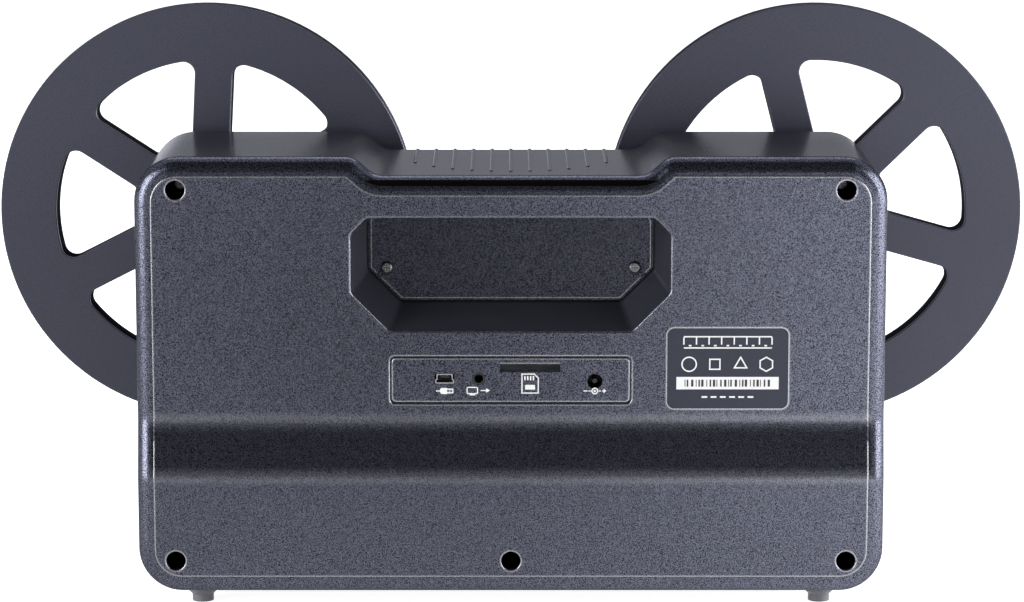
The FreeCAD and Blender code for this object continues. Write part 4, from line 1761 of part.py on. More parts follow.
def make_optics(model):
    """Make the lamp board, the diffuser, the sensor board and the lens."""
    gap, middle = "plate_gap", "film_middle"
    hole = "small_screw_radius + screw_clearance"
    model.keep("light_diffuser", model.slab(
        "light_diffuser", (f"-diffuser_half_width + {gap}", f"diffuser_half_width - {gap}"),
        (f"{middle} - diffuser_half_depth + {gap}", f"{middle} + diffuser_half_depth - {gap}"),
        ("film_height - diffuser_gauge", "film_height")))
    board = model.slab("lamp_blank", ("-lamp_half_width", "lamp_half_width"),
                       (f"{middle} - lamp_half_depth", f"{middle} + lamp_half_depth"),
                       ("lamp_height", "lamp_top"))
    lamp = model.post("lamp_dome", "lamp_radius", "0", middle, ("lamp_top", "lamp_top + lamp_rise"))
    holes = [model.post(f"lamp_hole{side}", hole, side + "lamp_post_x", middle,
                        ("lamp_height - 1", "lamp_top + 1")) for side in ("-", "")]
    model.keep("lamp_board", model.cut("lamp_board", model.fuse("lamp_parts", board, lamp), *holes))
    board = model.slab("sensor_blank", ("-sensor_half_width", "sensor_half_width"),
                       ("sensor_rear", "sensor_front"), ("sensor_height", "sensor_top"))
    chip = model.slab("sensor_chip", ("-sensor_chip", "sensor_chip"),
                      (f"{middle} - sensor_chip", f"{middle} + sensor_chip"),
                      ("sensor_height - sensor_chip_height", "sensor_height"))
    holes = [model.post(f"sensor_hole{side}", hole, side + "sensor_post_x", "sensor_post_depth",
                        ("sensor_height - 1", "sensor_top + 1")) for side in ("-", "")]
    model.keep("sensor_board", model.cut("sensor_board", model.fuse("sensor_parts", board, chip), *holes))
    seat = "lens_bottom + glass_height"
    rim = "glass_radius + lens_fit"
    flange_top = "carrier_top + lens_flange_height"
    profile = ((rim, "lens_bottom"), ("lens_radius", "lens_bottom"), ("lens_radius", "carrier_top"),
               ("lens_flange_radius", "carrier_top"), ("lens_flange_radius", flange_top),
               ("lens_radius", flange_top), ("lens_radius", "lens_top"), ("lens_bore", "lens_top"),
               ("lens_bore", seat), (rim, seat))
    model.keep("lens_barrel", model.turned_upright("lens_barrel", profile, "0", middle))
    model.keep("lens_glass", model.post("lens_glass", "glass_radius", "0", middle, ("lens_bottom", seat)))


def make_door(model):
    """Make the hinged gate door with its pressure plate and hinge pin."""
    low, high = "door_bottom", "door_top"
    plate_start = "hinge_x + barrel_radius + door_gap"
    sheet = plate(model, "door_sheet", (plate_start, "door_edge"), ("door_inner", "door_outer"), (low, high),
                  "door_radius")
    centre = "(door_bottom + door_top) / 2"
    tab = plate(model, "door_tab", ("door_edge - tab_reach", "door_edge + tab_reach"),
                ("door_inner", "door_outer"), (f"{centre} - tab_width / 2", f"{centre} + tab_width / 2"),
                "door_radius")
    inner = ("door_bottom + ear_height + ear_gap", "door_top - ear_height - ear_gap")
    web = model.slab("hinge_web", ("hinge_x", "hinge_x + barrel_radius + 2 * door_gap"),
                     ("hinge_depth - barrel_radius / 2", "door_outer"), inner)
    barrel = model.post("hinge_barrel", "barrel_radius", "hinge_x", "hinge_depth", inner)
    tongue = ("-tongue_half_width", "tongue_half_width")
    tongue_z = ("film_height + tongue_gap", "film_height + tongue_gap + tongue_gauge")
    socket = model.slab("tongue_socket", tongue, ("door_inner - 1", "door_inner + tongue_root"), tongue_z)
    bore = model.post("barrel_bore", "hinge_pin_radius + hinge_clearance", "hinge_x", "hinge_depth",
                      (low + " - 1", high + " + 1"))
    solid = model.fuse("door_solid", sheet, tab, web, barrel)
    model.keep("gate_door", model.cut("gate_door", solid, socket, bore))
    blade = model.slab("tongue_blade", tongue, ("tongue_reach", "door_inner + tongue_root"), tongue_z)
    window = model.slab("tongue_window", ("-tongue_window", "tongue_window"),
                        ("film_middle - tongue_window", "film_middle + tongue_window"),
                        ("film_height", "channel_top"))
    model.keep("pressure_plate", model.cut("pressure_plate", blade, window))
    profile = (("0", low), ("hinge_pin_radius", low), ("hinge_pin_radius", high),
               ("hinge_pin_head", high), ("hinge_pin_head", high + " + hinge_pin_radius"),
               ("0", high + " + hinge_pin_radius"))
    model.keep("hinge_pin", model.turned_upright("hinge_pin", profile, "hinge_x", "hinge_depth"))


def make_rollers(model):
    """Make the film rollers and the pins that they turn on."""
    bore = "roller_pin_radius + roller_clearance"
    inner_low = "roller_start + roller_flange_width"
    inner_high = "roller_end - roller_flange_width"
    outer = "roller_flange_radius"
    spool = ((bore, "roller_start"), (outer, "roller_start"), (outer, inner_low),
             ("roller_radius", inner_low), ("roller_radius", inner_high), (outer, inner_high),
             (outer, "roller_end"), (bore, "roller_end"))
    head = "roller_end + running_gap"
    pin = (("0", "roller_pin_start"), ("roller_pin_radius", "roller_pin_start"), ("roller_pin_radius", head),
           ("roller_pin_head", head), ("roller_pin_head", head + " + roller_pin_head_height"),
           ("0", head + " + roller_pin_head_height"))
    pins = []
    for side, hand in (("-", "supply"), ("", "takeup")):
        for place in ("outer", "inner"):
            spot = (f"{side}{place}_roller_x", f"{place}_roller_z")
            node = f"{hand}_{place}_roller"
            model.keep(node, model.turned_forward(node, spool, *spot))
            pins.append(model.turned_forward(node + "_pin", pin, *spot))
    model.keep("roller_pins", model.group("roller_pins", *pins))


def check(model):
    """Stop with the names of objects that failed to build."""
    broken = [thing.Name for thing in model.doc.Objects if {"Invalid", "Error"} & set(thing.State)]
    for piece in model.pieces:
        if piece.Shape.isNull() or not piece.Shape.isValid() or not piece.Shape.Solids:
            broken.append(piece.Label)
    if broken:
        raise RuntimeError("these objects failed: " + ", ".join(sorted(set(broken))))


def main():
    """Build every piece, check it and write it."""
    model = Model()
    make_rear_cover(model)
    make_front_housing(model)
    make_keys(model)
    make_display(model)
    make_screws(model)
    make_feet(model)
    make_ports(model)
    make_data_port(model)
    make_sockets(model)
    make_boards(model)
    make_chassis(model)
    make_friction(model)
    make_drive(model)
    make_advance(model)
    make_claw(model)
    for name, side, angle in (("supply", "-", "supply_spoke_angle"), ("takeup", "", "takeup_spoke_angle")):
        make_spindle(model, name, side)
        make_reel(model, name, side, angle)
    make_gate(model)
    make_optics(model)
    make_door(model)
    make_rollers(model)
    model.doc.recompute()
    check(model)
    os.makedirs("parts", exist_ok=True)
    for piece in model.pieces:
        piece.Shape.exportStep(f"parts/{piece.Label}.step")
        print(f"{piece.Label}: {len(piece.Shape.Solids)} solids, {piece.Shape.Volume:.1f} mm3")
    print(len(model.pieces), "nodes")


main()
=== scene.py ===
"""Looks of a tabletop film scanner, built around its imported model.

The model's own frame is +Z up from the table, -Y out of the front where the reels are, +Y out of the
rear panel, and +X to the right of someone who faces the front. Sizes of printed shapes and of regions
are in millimetres, and everything that reaches Blender is in metres.
"""

import json
import logging
import math
from collections.abc import Sequence
from dataclasses import dataclass
from enum import Enum
from functools import partial, reduce
from typing import ClassVar

import bmesh
import bpy
from bpy.types import ID, Material, Node, NodeOutputs, NodeSocket, NodeTree, Object
from mathutils import Matrix, Vector

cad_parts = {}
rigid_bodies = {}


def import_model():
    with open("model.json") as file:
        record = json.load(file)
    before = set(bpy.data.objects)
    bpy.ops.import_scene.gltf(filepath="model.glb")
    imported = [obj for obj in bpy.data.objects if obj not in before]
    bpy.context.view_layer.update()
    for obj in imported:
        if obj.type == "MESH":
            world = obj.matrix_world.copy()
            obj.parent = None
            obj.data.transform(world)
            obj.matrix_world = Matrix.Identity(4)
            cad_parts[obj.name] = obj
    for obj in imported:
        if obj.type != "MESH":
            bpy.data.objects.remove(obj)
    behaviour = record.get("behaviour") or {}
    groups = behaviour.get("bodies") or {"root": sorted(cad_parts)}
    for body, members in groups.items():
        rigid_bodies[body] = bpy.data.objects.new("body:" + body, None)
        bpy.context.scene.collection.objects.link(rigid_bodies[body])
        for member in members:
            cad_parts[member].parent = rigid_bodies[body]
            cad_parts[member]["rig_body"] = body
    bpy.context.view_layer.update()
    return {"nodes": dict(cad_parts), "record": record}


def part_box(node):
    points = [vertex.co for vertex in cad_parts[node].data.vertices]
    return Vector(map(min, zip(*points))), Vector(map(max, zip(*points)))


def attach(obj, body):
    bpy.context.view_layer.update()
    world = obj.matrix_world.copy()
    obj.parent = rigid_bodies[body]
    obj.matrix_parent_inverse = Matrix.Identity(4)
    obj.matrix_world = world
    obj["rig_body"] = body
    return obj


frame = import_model()

MM = 0.001
CASING = "casing"
log = logging.getLogger("film_scanner")

Colour = tuple[float, float, float]
Point = tuple[float, float]
Triple = tuple[float, float, float]
Names = tuple[str, ...]
Shapes = Sequence[tuple]

BLACK: Colour = (0.0, 0.0, 0.0)
WHITE: Colour = (1.0, 1.0, 1.0)


class Side(Enum):
    """The two reels, each by the word that starts the names of its nodes."""

    SUPPLY = "supply"
    TAKEUP = "takeup"


class Effect(Enum):
    """The shader groups that the finishes share."""

    GRAIN = "moulded_grain"
    EDGES = "rubbed_edges"
    DUST = "settled_dust"
    TURNING = "turning_lines"
    REGION = "box_region"


class Finish(Enum):
    """The finishes of the scanner's surfaces."""

    COVER = "cover_plastic"
    HOUSING = "housing_plastic"
    TRIM = "trim_plastic"
    LABEL = "label_film"
    KEY = "key_plastic"
    REEL = "reel_plastic"
    WHITE = "white_plastic"
    DIFFUSER = "diffuser"
    RIBBON = "ribbon"
    BOARD = "circuit_board"
    RUBBER = "rubber"
    DARK_STEEL = "dark_steel"
    STEEL = "steel"
    BRASS = "brass"
    BLACK_METAL = "black_aluminium"
    WINDOW = "window_glass"
    LENS = "lens_glass"
    FELT = "felt"
    PORT_SHELL = "port_shell"
    PALE_INK = "pale_ink"
    DARK_INK = "dark_ink"
    SCREEN = "screen"


def box_mm(node: str) -> tuple[Vector, Vector]:
    """Return a node's lowest and highest corners at rest, in millimetres."""
    low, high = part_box(node)
    return Vector(low) / MM, Vector(high) / MM


def add_object(name: str, data: ID) -> Object:
    """Add an object to the scene, and return it."""
    item = bpy.data.objects.new(name, data)
    bpy.context.scene.collection.objects.link(item)
    return item


@dataclass(frozen=True)
class Region:
    """A box in the model's frame, in millimetres, with a soft edge."""

    low: Triple
    high: Triple
    soft: float = 0.3

    @classmethod
    def across(cls, half: float, deep: Point, level: Point, soft: float) -> "Region":
        """Return a box from its half width round the middle, its span in Y and its span in Z."""
        return cls((-half, deep[0], level[0]), (half, deep[1], level[1]), soft)

    @classmethod
    def within(cls, node: str, inset: float, front: float, rear: float, soft: float = 0.3) -> "Region":
        """Return the box of a node, drawn in at its sides, its top and its bottom.

        Args:
            node: the node's name.
            inset: how far the box is drawn in.
            front: how far it passes the node's front.
            rear: how far it passes the node's rear.
            soft: the width of its soft edge.

        Returns:
            The box.
        """
        low, high = box_mm(node)
        return cls((low.x + inset, low.y - front, low.z + inset),
                   (high.x - inset, high.y + rear, high.z - inset), soft)

    def inputs(self) -> dict[str, Vector | float]:
        """Return the region group's inputs for this box, in metres."""
        low, high = Vector(self.low) * MM, Vector(self.high) * MM
        return {"Middle": (low + high) / 2, "Half": (high - low) / 2, "Soft": self.soft * MM}


Regions = tuple[Region, ...]


class Graph:
    """A shader node tree that is being filled."""

    def __init__(self, tree: NodeTree) -> None:
        """Keep the tree."""
        self.tree = tree

    def feed(self, sockets: object, values: dict[str | int, object]) -> None:
        """Give sockets their values, or link them to output sockets.

        Args:
            sockets: a node's inputs.
            values: values or output sockets, by place or by name with underscores for spaces.
        """
        for key, value in values.items():
            socket = sockets[key.replace("_", " ") if isinstance(key, str) else key]
            if isinstance(value, NodeSocket):
                self.tree.links.new(value, socket)
            else:
                socket.default_value = value

    def node(self, kind: str, *values: object, **given: object) -> Node:
        """Add a node, and set its properties before its inputs.

        Args:
            kind: the node's type without the ShaderNode prefix.
            values: values or sockets for its first inputs.
            given: its properties, by their lower-case names, and its other inputs, by name.

        Returns:
            The new node.
        """
        node = self.tree.nodes.new("ShaderNode" + kind)
        for key in filter(str.islower, given):
            setattr(node, key, given[key])
        named = {key: value for key, value in given.items() if not key.islower()}
        self.feed(node.inputs, dict(enumerate(values)) | named)
        return node

    def math(self, operation: str, *values: object, clamp: bool = False) -> NodeSocket:
        """Add a math node, whose result can be held between 0 and 1."""
        return self.node("Math", *values, operation=operation, use_clamp=clamp).outputs[0]

    def times(self, *values: object) -> NodeSocket:
        """Multiply values."""
        return reduce(partial(self.math, "MULTIPLY"), values)

    def most(self, *values: object) -> NodeSocket:
        """Take the highest of some values."""
        return reduce(partial(self.math, "MAXIMUM"), values)

    def vector(self, operation: str, *values: object, **inputs: object) -> NodeSocket:
        """Add a vector math node, with inputs in order or by name."""
        node = self.node("VectorMath", *values, operation=operation, **inputs)
        return node.outputs["Value" if operation == "LENGTH" else "Vector"]

    def ramp(self, value: object, *levels: object) -> NodeSocket:
        """Map a value smoothly from a low and a high level to two others, by default to 0 and 1."""
        return self.node("MapRange", value, *levels, interpolation_type="SMOOTHSTEP").outputs[0]

    def mix(self, share: object, *colours: object) -> NodeSocket:
        """Mix two colours, by the share of the second one."""
        sockets = (value if isinstance(value, NodeSocket) else (*value, 1.0) for value in colours)
        return self.node("Mix", share, **dict(zip("AB", sockets)), data_type="RGBA").outputs[2]

    def place(self, scale: object, stretch: Triple = (1.0, 1.0, 1.0)) -> NodeSocket:
        """Take the piece's own coordinates, stretched and then scaled.

        Args:
            scale: the scale, or its socket.
            stretch: the stretch along each axis.

        Returns:
            The coordinates' socket.
        """
        where = self.node("TexCoord").outputs["Object"]
        stretched = self.node("Mapping", where, Scale=stretch).outputs[0]
        return self.vector("SCALE", stretched, Scale=scale)


class Group(Graph):
    """A new shader node group, whose outputs are masks and heights."""

    def __init__(self, effect: Effect, *outputs: str, **inputs: float | Triple) -> None:
        """Make the group with its sockets alone.

        Args:
            effect: the effect that it will hold.
            outputs: the names of its outputs.
            inputs: the default value of each input, where a triple makes a vector socket.
        """
        super().__init__(bpy.data.node_groups.new(effect.value, "ShaderNodeTree"))
        for label, value in inputs.items():
            kind = "NodeSocketVector" if isinstance(value, tuple) else "NodeSocketFloat"
            socket = self.tree.interface.new_socket(name=label, in_out="INPUT", socket_type=kind)
            socket.default_value = value
        for label in outputs:
            self.tree.interface.new_socket(name=label, in_out="OUTPUT", socket_type="NodeSocketFloat")
        self.given = self.tree.nodes.new("NodeGroupInput").outputs
        self.ends = self.tree.nodes.new("NodeGroupOutput").inputs

    def give(self, **results: NodeSocket) -> None:
        """Link the group's outputs, by name."""
        self.feed(self.ends, results)


def grain_group() -> None:
    """Build a spark-eroded mould's skin: a height for bump, and a mask of the light flecks."""
    pit_range, pit_depth, fleck_level, fleck_width = (0.05, 0.75), 0.35, 0.72, 0.1
    group = Group(Effect.GRAIN, "Height", "Flecks", Size=0.8 * MM, Contrast=0.5)
    scale = group.math("DIVIDE", 1.0, group.given["Size"])
    coarse = group.node("TexNoise", group.place(scale), Scale=1.0, Detail=2.0, Roughness=0.6)
    cells = group.node("TexVoronoi", group.place(scale), Scale=1.3).outputs["Distance"]
    height = group.math("ADD", coarse.outputs[0], group.times(group.ramp(cells, *pit_range), pit_depth))
    half = group.math("DIVIDE", fleck_width, group.given["Contrast"])
    ends = (group.math(way, fleck_level, half) for way in ("SUBTRACT", "ADD"))
    group.give(Height=height, Flecks=group.ramp(height, *ends))


def edge_group() -> None:
    """Build painted edge highlights: a mask that is 1 on edges that stand out, and 0 in corners that go in.
    """
    flat_level, edge_level = 0.95, 0.6
    group = Group(Effect.EDGES, "Mask", Width=0.4 * MM)
    depth = group.node("AmbientOcclusion", inside=True, only_local=True, samples=4,
                       Distance=group.given["Width"])
    group.give(Mask=group.ramp(depth.outputs["AO"], flat_level, edge_level))


def dust_group() -> None:
    """Build the mask of thin dust that settles on what faces up."""
    slope, patch_range, patch_share, speck_range = (0.3, 1.0), (0.35, 0.75), 0.5, (0.62, 0.7)
    group = Group(Effect.DUST, "Mask", Amount=0.1)
    normal = group.node("SeparateXYZ", group.node("NewGeometry").outputs["Normal"])
    cloud = group.node("TexNoise", group.place(60.0), Scale=1.0, Detail=5.0, Roughness=0.7)
    specks = group.node("TexNoise", group.place(1400.0), Scale=1.0, Detail=2.0)
    lying = group.math("ADD", group.times(group.ramp(cloud.outputs[0], *patch_range), patch_share),
                       group.ramp(specks.outputs[0], *speck_range))
    settled = group.times(group.ramp(normal.outputs["Z"], *slope), lying)
    group.give(Mask=group.math("MULTIPLY", settled, group.given["Amount"], clamp=True))


def turning_group() -> None:
    """Build the height of fine machining lines that run round the depth axis."""
    drawn_out = (0.08, 1.0, 0.08)
    group = Group(Effect.TURNING, "Height", Pitch=0.15 * MM)
    stretched = group.place(group.math("DIVIDE", 1.0, group.given["Pitch"]), drawn_out)
    lines = group.node("TexNoise", stretched, Scale=1.0, Detail=2.0, Roughness=0.5)
    group.give(Height=lines.outputs[0])


def region_group() -> None:
    """Build the mask of a box in the model's frame, for a piece that has two finishes."""
    group = Group(Effect.REGION, "Mask", Middle=BLACK, Half=WHITE, Soft=0.3 * MM)
    where = group.node("TexCoord").outputs["Object"]
    away = group.vector("ABSOLUTE", group.vector("SUBTRACT", where, group.given["Middle"]))
    beyond = group.vector("SUBTRACT", away, group.given["Half"])
    furthest = group.most(*group.node("SeparateXYZ", beyond).outputs)
    group.give(Mask=group.ramp(furthest, group.given["Soft"], 0.0))


class Paint(Graph):
    """A new material, whose Principled shader is being fed."""

    def __init__(self, name: str) -> None:
        """Make a material that holds the shader alone.

        Args:
            name: the material's name.
        """
        self.material = bpy.data.materials.new(name)
        self.material.use_nodes = True
        super().__init__(self.material.node_tree)
        self.shader = self.tree.nodes["Principled BSDF"]

    def put(self, **inputs: object) -> None:
        """Feed the shader's inputs, by name with underscores for spaces."""
        self.feed(self.shader.inputs, inputs)

    def use(self, effect: Effect, **inputs: object) -> NodeOutputs:
        """Place a shared group, with its inputs by name, and return its outputs."""
        return self.node("Group", node_tree=bpy.data.node_groups[effect.value], **inputs).outputs

    def inside(self, regions: Regions) -> NodeSocket:
        """Return a mask that is 1 inside some boxes."""
        return self.most(*(self.use(Effect.REGION, **region.inputs())["Mask"] for region in regions))

    def bump(self, height: NodeSocket, depth: float) -> None:
        """Feed a height through a bump node into the normal, to a depth in millimetres."""
        self.put(Normal=self.node("Bump", Height=height, Strength=1.0, Distance=depth * MM).outputs[0])


@dataclass(frozen=True)
class Plastic:
    """A moulded or painted plastic with a grained or satin skin. Lengths are in millimetres."""

    colour: Colour
    fleck: Colour
    roughness: float
    grain: float = 0.8
    contrast: float = 0.5
    depth: float = 0.02
    metallic: float = 0.0
    coat: float = 0.0
    rim_tint: float = 1.0
    fleck_roughness: float = 0.06
    smooth: Regions = ()
    smooth_colour: Colour = (0.025, 0.026, 0.035)
    smooth_metallic: float = 0.1
    smooth_roughness: float = 0.34
    # Painted shade: places darkened toward black where less light reaches, and by how much.
    painted_shade: Regions = ()
    painted_shade_share: float = 0.46
    # Painted highlights: places lightened toward the edge highlight colour, and by how much.
    polished: Regions = ()
    painted_highlight_share: float = 0.13
    # Screw wells painted near black as shade.
    shaded_wells: Regions = ()
    well_shade_colour: Colour = (0.002, 0.002, 0.002)
    # Painted edge highlights: their colour, their width, where they may show and where they don't.
    edge_highlight_colour: Colour | None = None
    edge_width: float = 0.35
    edges_in: Regions = ()
    unhighlit_edges: Regions = ()
    dust: float = 0.02
    dust_colour: Colour = (0.32, 0.31, 0.3)
    dust_roughness: float = 0.4

    def paint(self, new: Paint) -> None:
        """Paint skin, smooth places, painted shade and highlights, wells painted as shade, edge highlights,
        dust.

        Args:
            new: the material to paint.
        """
        grain = new.use(Effect.GRAIN, Size=self.grain * MM, Contrast=self.contrast)
        height, flecks = grain["Height"], grain["Flecks"]
        skin = new.mix(flecks, self.colour, self.fleck)
        rough = new.math("ADD", self.roughness - self.fleck_roughness / 2,
                         new.times(flecks, self.fleck_roughness))
        new.put(Metallic=self.metallic, Coat_Weight=self.coat, Specular_Tint=(*(self.rim_tint,) * 3, 1.0))
        if self.smooth:
            mask = new.inside(self.smooth)
            grained = new.math("SUBTRACT", 1.0, mask)
            skin = new.mix(mask, skin, self.smooth_colour)
            height = new.times(height, grained)
            rough = new.math("ADD", new.times(rough, grained), new.times(mask, self.smooth_roughness))
            new.put(Metallic=new.ramp(mask, 0.0, 1.0, self.metallic, self.smooth_metallic))
        # Painted shade darkens some places toward black, and painted highlights lighten others toward the
        # edge highlight colour.
        for places, share, colour in ((self.painted_shade, self.painted_shade_share, BLACK),
                                      (self.polished, self.painted_highlight_share, self.edge_highlight_colour)):
            if places:
                skin = new.mix(new.times(new.inside(places), share), skin, colour)
        # The screw wells are painted near black as shade.
        if self.shaded_wells:
            well_shade = new.inside(self.shaded_wells)
            skin = new.mix(well_shade, skin, self.well_shade_colour)
            rough = new.most(rough, well_shade)
        # Painted edge highlights: convex edges are lightened toward the edge colour to stand in for glints.
        if self.edge_highlight_colour:
            edge_glint_mask = new.use(Effect.EDGES, Width=self.edge_width * MM)["Mask"]
            if self.edges_in:
                edge_glint_mask = new.times(edge_glint_mask, new.inside(self.edges_in))
            if self.unhighlit_edges:
                edge_glint_mask = new.times(edge_glint_mask, new.math("SUBTRACT", 1.0, new.inside(self.unhighlit_edges)))
            skin = new.mix(edge_glint_mask, skin, self.edge_highlight_colour)
        dust = new.use(Effect.DUST, Amount=self.dust)["Mask"]
        new.put(Base_Color=new.mix(dust, skin, self.dust_colour),
                Roughness=new.math("ADD", rough, new.times(dust, self.dust_roughness), clamp=True))
        new.bump(height, self.depth)


@dataclass(frozen=True)
class Metal:
    """A plated, turned or rolled metal, with a plastic insert where a region says so."""

    colour: Colour
    tarnish: Colour
    roughness: float
    edge_highlight_gain: float = 1.25
    edge_width: float = 0.25
    edge_highlight_share: float = 0.7
    pitch: float = 0.15
    depth: float = 0.006
    stain_scale: float = 180.0
    stain_range: Point = (0.4, 0.75)
    stain_roughness: float = 0.12
    insert: Regions = ()
    insert_colour: Colour = (0.015, 0.015, 0.016)
    insert_roughness: float = 0.4

    def paint(self, new: Paint) -> None:
        """Paint the metal with its stains and painted edge highlights, then the insert.

        Args:
            new: the material to paint.
        """
        cloud = new.node("TexNoise", new.place(self.stain_scale), Scale=1.0, Detail=4.0, Roughness=0.6)
        stain = new.ramp(cloud.outputs[0], *self.stain_range)
        # Painted edge highlights: convex edges are lightened by a gain to stand in for glints.
        edges = new.use(Effect.EDGES, Width=self.edge_width * MM)["Mask"]
        bright = tuple(min(1.0, part * self.edge_highlight_gain) for part in self.colour)
        skin = new.mix(new.times(edges, self.edge_highlight_share), new.mix(stain, self.colour, self.tarnish), bright)
        rough = new.math("ADD", self.roughness, new.times(stain, self.stain_roughness), clamp=True)
        new.put(Metallic=1.0)
        if self.insert:
            mask = new.inside(self.insert)
            skin = new.mix(mask, skin, self.insert_colour)
            rough = new.most(rough, new.times(mask, self.insert_roughness))
            new.put(Metallic=new.math("SUBTRACT", 1.0, mask))
        new.put(Base_Color=skin, Roughness=rough)
        new.bump(new.use(Effect.TURNING, Pitch=self.pitch * MM)["Height"], self.depth)


@dataclass(frozen=True)
class Glass:
    """A clear or tinted glass with thin dust."""

    colour: Colour
    roughness: float
    transmission: float = 1.0
    dust: float = 0.05
    dust_colour: Colour = (0.4, 0.4, 0.4)
    dust_roughness: float = 0.5

    def paint(self, new: Paint) -> None:
        """Paint the glass and its dust.

        Args:
            new: the material to paint.
        """
        dust = new.use(Effect.DUST, Amount=self.dust)["Mask"]
        rough = new.math("ADD", self.roughness, new.times(dust, self.dust_roughness))
        new.put(Base_Color=new.mix(dust, self.colour, self.dust_colour), Roughness=rough,
                Transmission_Weight=self.transmission)


@dataclass(frozen=True)
class Felt:
    """A pressed felt with lighter fibres. Lengths are in millimetres."""

    colour: Colour
    fibre_gain: float = 1.5
    fibre: float = 0.25
    depth: float = 0.08

    def paint(self, new: Paint) -> None:
        """Paint the fibres.

        Args:
            new: the material to paint.
        """
        grain = new.use(Effect.GRAIN, Size=self.fibre * MM, Contrast=1.0)
        light = tuple(part * self.fibre_gain for part in self.colour)
        new.put(Base_Color=new.mix(grain["Flecks"], self.colour, light), Roughness=0.95, Sheen_Weight=0.4)
        new.bump(grain["Height"], self.depth)


@dataclass(frozen=True)
class DarkScreen:
    """A display that is off: a smoked active area inside a black surround."""

    area: Region
    colour: Colour = (0.012, 0.014, 0.02)
    surround: Colour = (0.003, 0.003, 0.003)
    roughness: Point = (0.35, 0.14)

    def paint(self, new: Paint) -> None:
        """Paint the surround and the active area.

        Args:
            new: the material to paint.
        """
        mask = new.inside((self.area,))
        new.put(Base_Color=new.mix(mask, self.surround, self.colour),
                Roughness=new.ramp(mask, 0.0, 1.0, *self.roughness))


Surface = Plastic | Metal | Glass | Felt | DarkScreen


class Wardrobe:
    """The finishes, each built as a material when a surface first asks for it."""

    def __init__(self) -> None:
        """Build the shared effects and describe every finish."""
        for build in (grain_group, edge_group, dust_group, turning_group, region_group):
            build()
        self.materials: dict[Finish, Material] = {}
        self.slots = {entry["node"]: entry["material_slot"] for entry in frame["record"]["subparts"]}
        self.finishes = self.describe()

    @staticmethod
    def describe() -> dict[Finish, Surface]:
        """Describe the finishes.

        Returns:
            The look of each finish.
        """
        return {
            # The cover's and the reel's edge colours are painted highlights on their convex edges.
            Finish.COVER: Plastic(
                (0.009, 0.01, 0.017), (0.147, 0.153, 0.2), 0.25, grain=0.42, contrast=0.9, metallic=0.85,
                rim_tint=0.35, edge_highlight_colour=(0.62, 0.63, 0.66), edge_width=0.9, **Casing.places()),
            Finish.HOUSING: Plastic(
                (0.012, 0.012, 0.017), (0.016, 0.016, 0.023), 0.2, grain=0.5, depth=0.002),
            Finish.TRIM: Plastic((0.012, 0.012, 0.013), (0.02, 0.02, 0.022), 0.38),
            Finish.LABEL: Plastic(
                (0.026, 0.028, 0.042), (0.036, 0.039, 0.058), 0.36, grain=0.35, depth=0.003, metallic=0.5),
            Finish.KEY: Plastic((0.045, 0.045, 0.05), (0.06, 0.06, 0.066), 0.34, grain=0.4, depth=0.006),
            Finish.REEL: Plastic(
                (0.036, 0.038, 0.055), (0.056, 0.058, 0.082), 0.36, grain=0.45, contrast=0.7, depth=0.014,
                metallic=0.5, edge_highlight_colour=(0.1, 0.104, 0.13), edge_width=0.3),
            Finish.WHITE: Plastic((0.7, 0.69, 0.64), (0.76, 0.75, 0.7), 0.4),
            Finish.DIFFUSER: Plastic((0.8, 0.8, 0.78), (0.85, 0.85, 0.83), 0.5),
            Finish.RIBBON: Plastic((0.6, 0.61, 0.62), (0.68, 0.69, 0.7), 0.4),
            Finish.BOARD: Plastic((0.01, 0.09, 0.035), (0.02, 0.14, 0.06), 0.3, coat=0.4),
            Finish.RUBBER: Plastic((0.13, 0.13, 0.15), (0.17, 0.17, 0.19), 0.5, grain=0.4, depth=0.01),
            Finish.PALE_INK: Plastic((0.72, 0.72, 0.72), (0.8, 0.8, 0.8), 0.5, grain=0.25, depth=0.004),
            Finish.DARK_INK: Plastic(
                (0.012, 0.012, 0.014), (0.02, 0.02, 0.022), 0.5, grain=0.25, depth=0.004),
            # The dark steel's high edge gain paints bright highlights on the screw heads' edges.
            Finish.DARK_STEEL: Metal((0.16, 0.16, 0.17), (0.08, 0.08, 0.085), 0.3, edge_highlight_gain=4.5),
            Finish.STEEL: Metal((0.62, 0.62, 0.63), (0.42, 0.42, 0.43), 0.28),
            Finish.PORT_SHELL: Metal(
                (0.66, 0.66, 0.68), (0.5, 0.5, 0.52), 0.22, insert=(PortPanel.data_insert(),)),
            Finish.BRASS: Metal((0.78, 0.58, 0.27), (0.5, 0.36, 0.17), 0.25),
            Finish.BLACK_METAL: Metal((0.03, 0.03, 0.033), (0.05, 0.05, 0.052), 0.35),
            Finish.WINDOW: Glass((0.5, 0.52, 0.55), 0.04, 0.9),
            Finish.LENS: Glass((0.92, 0.96, 0.97), 0.02),
            Finish.FELT: Felt((0.2, 0.19, 0.17)),
            Finish.SCREEN: DarkScreen(FrontPanel.active_area()),
        }

    def dress(self, piece: Object, finish: Finish) -> None:
        """Give a piece one finish.

        Args:
            piece: the piece to dress.
            finish: its finish.
        """
        if finish not in self.materials:
            new = Paint(finish.value)
            self.finishes[finish].paint(new)
            self.materials[finish] = new.material
        piece.data.materials.clear()
        piece.data.materials.append(self.materials[finish])

    def dress_node(self, node: str, finish: Finish | None) -> None:
        """Give a node a finish, or the one that its slot in the record names."""
        self.dress(frame["nodes"][node], finish or Finish(self.slots[node]))


def panel_y() -> float:
    """Return the Y of the upper rear panel, which the port plate's face lies just below."""
    return box_mm("port_plate")[1].y + PortPanel.plate_sink


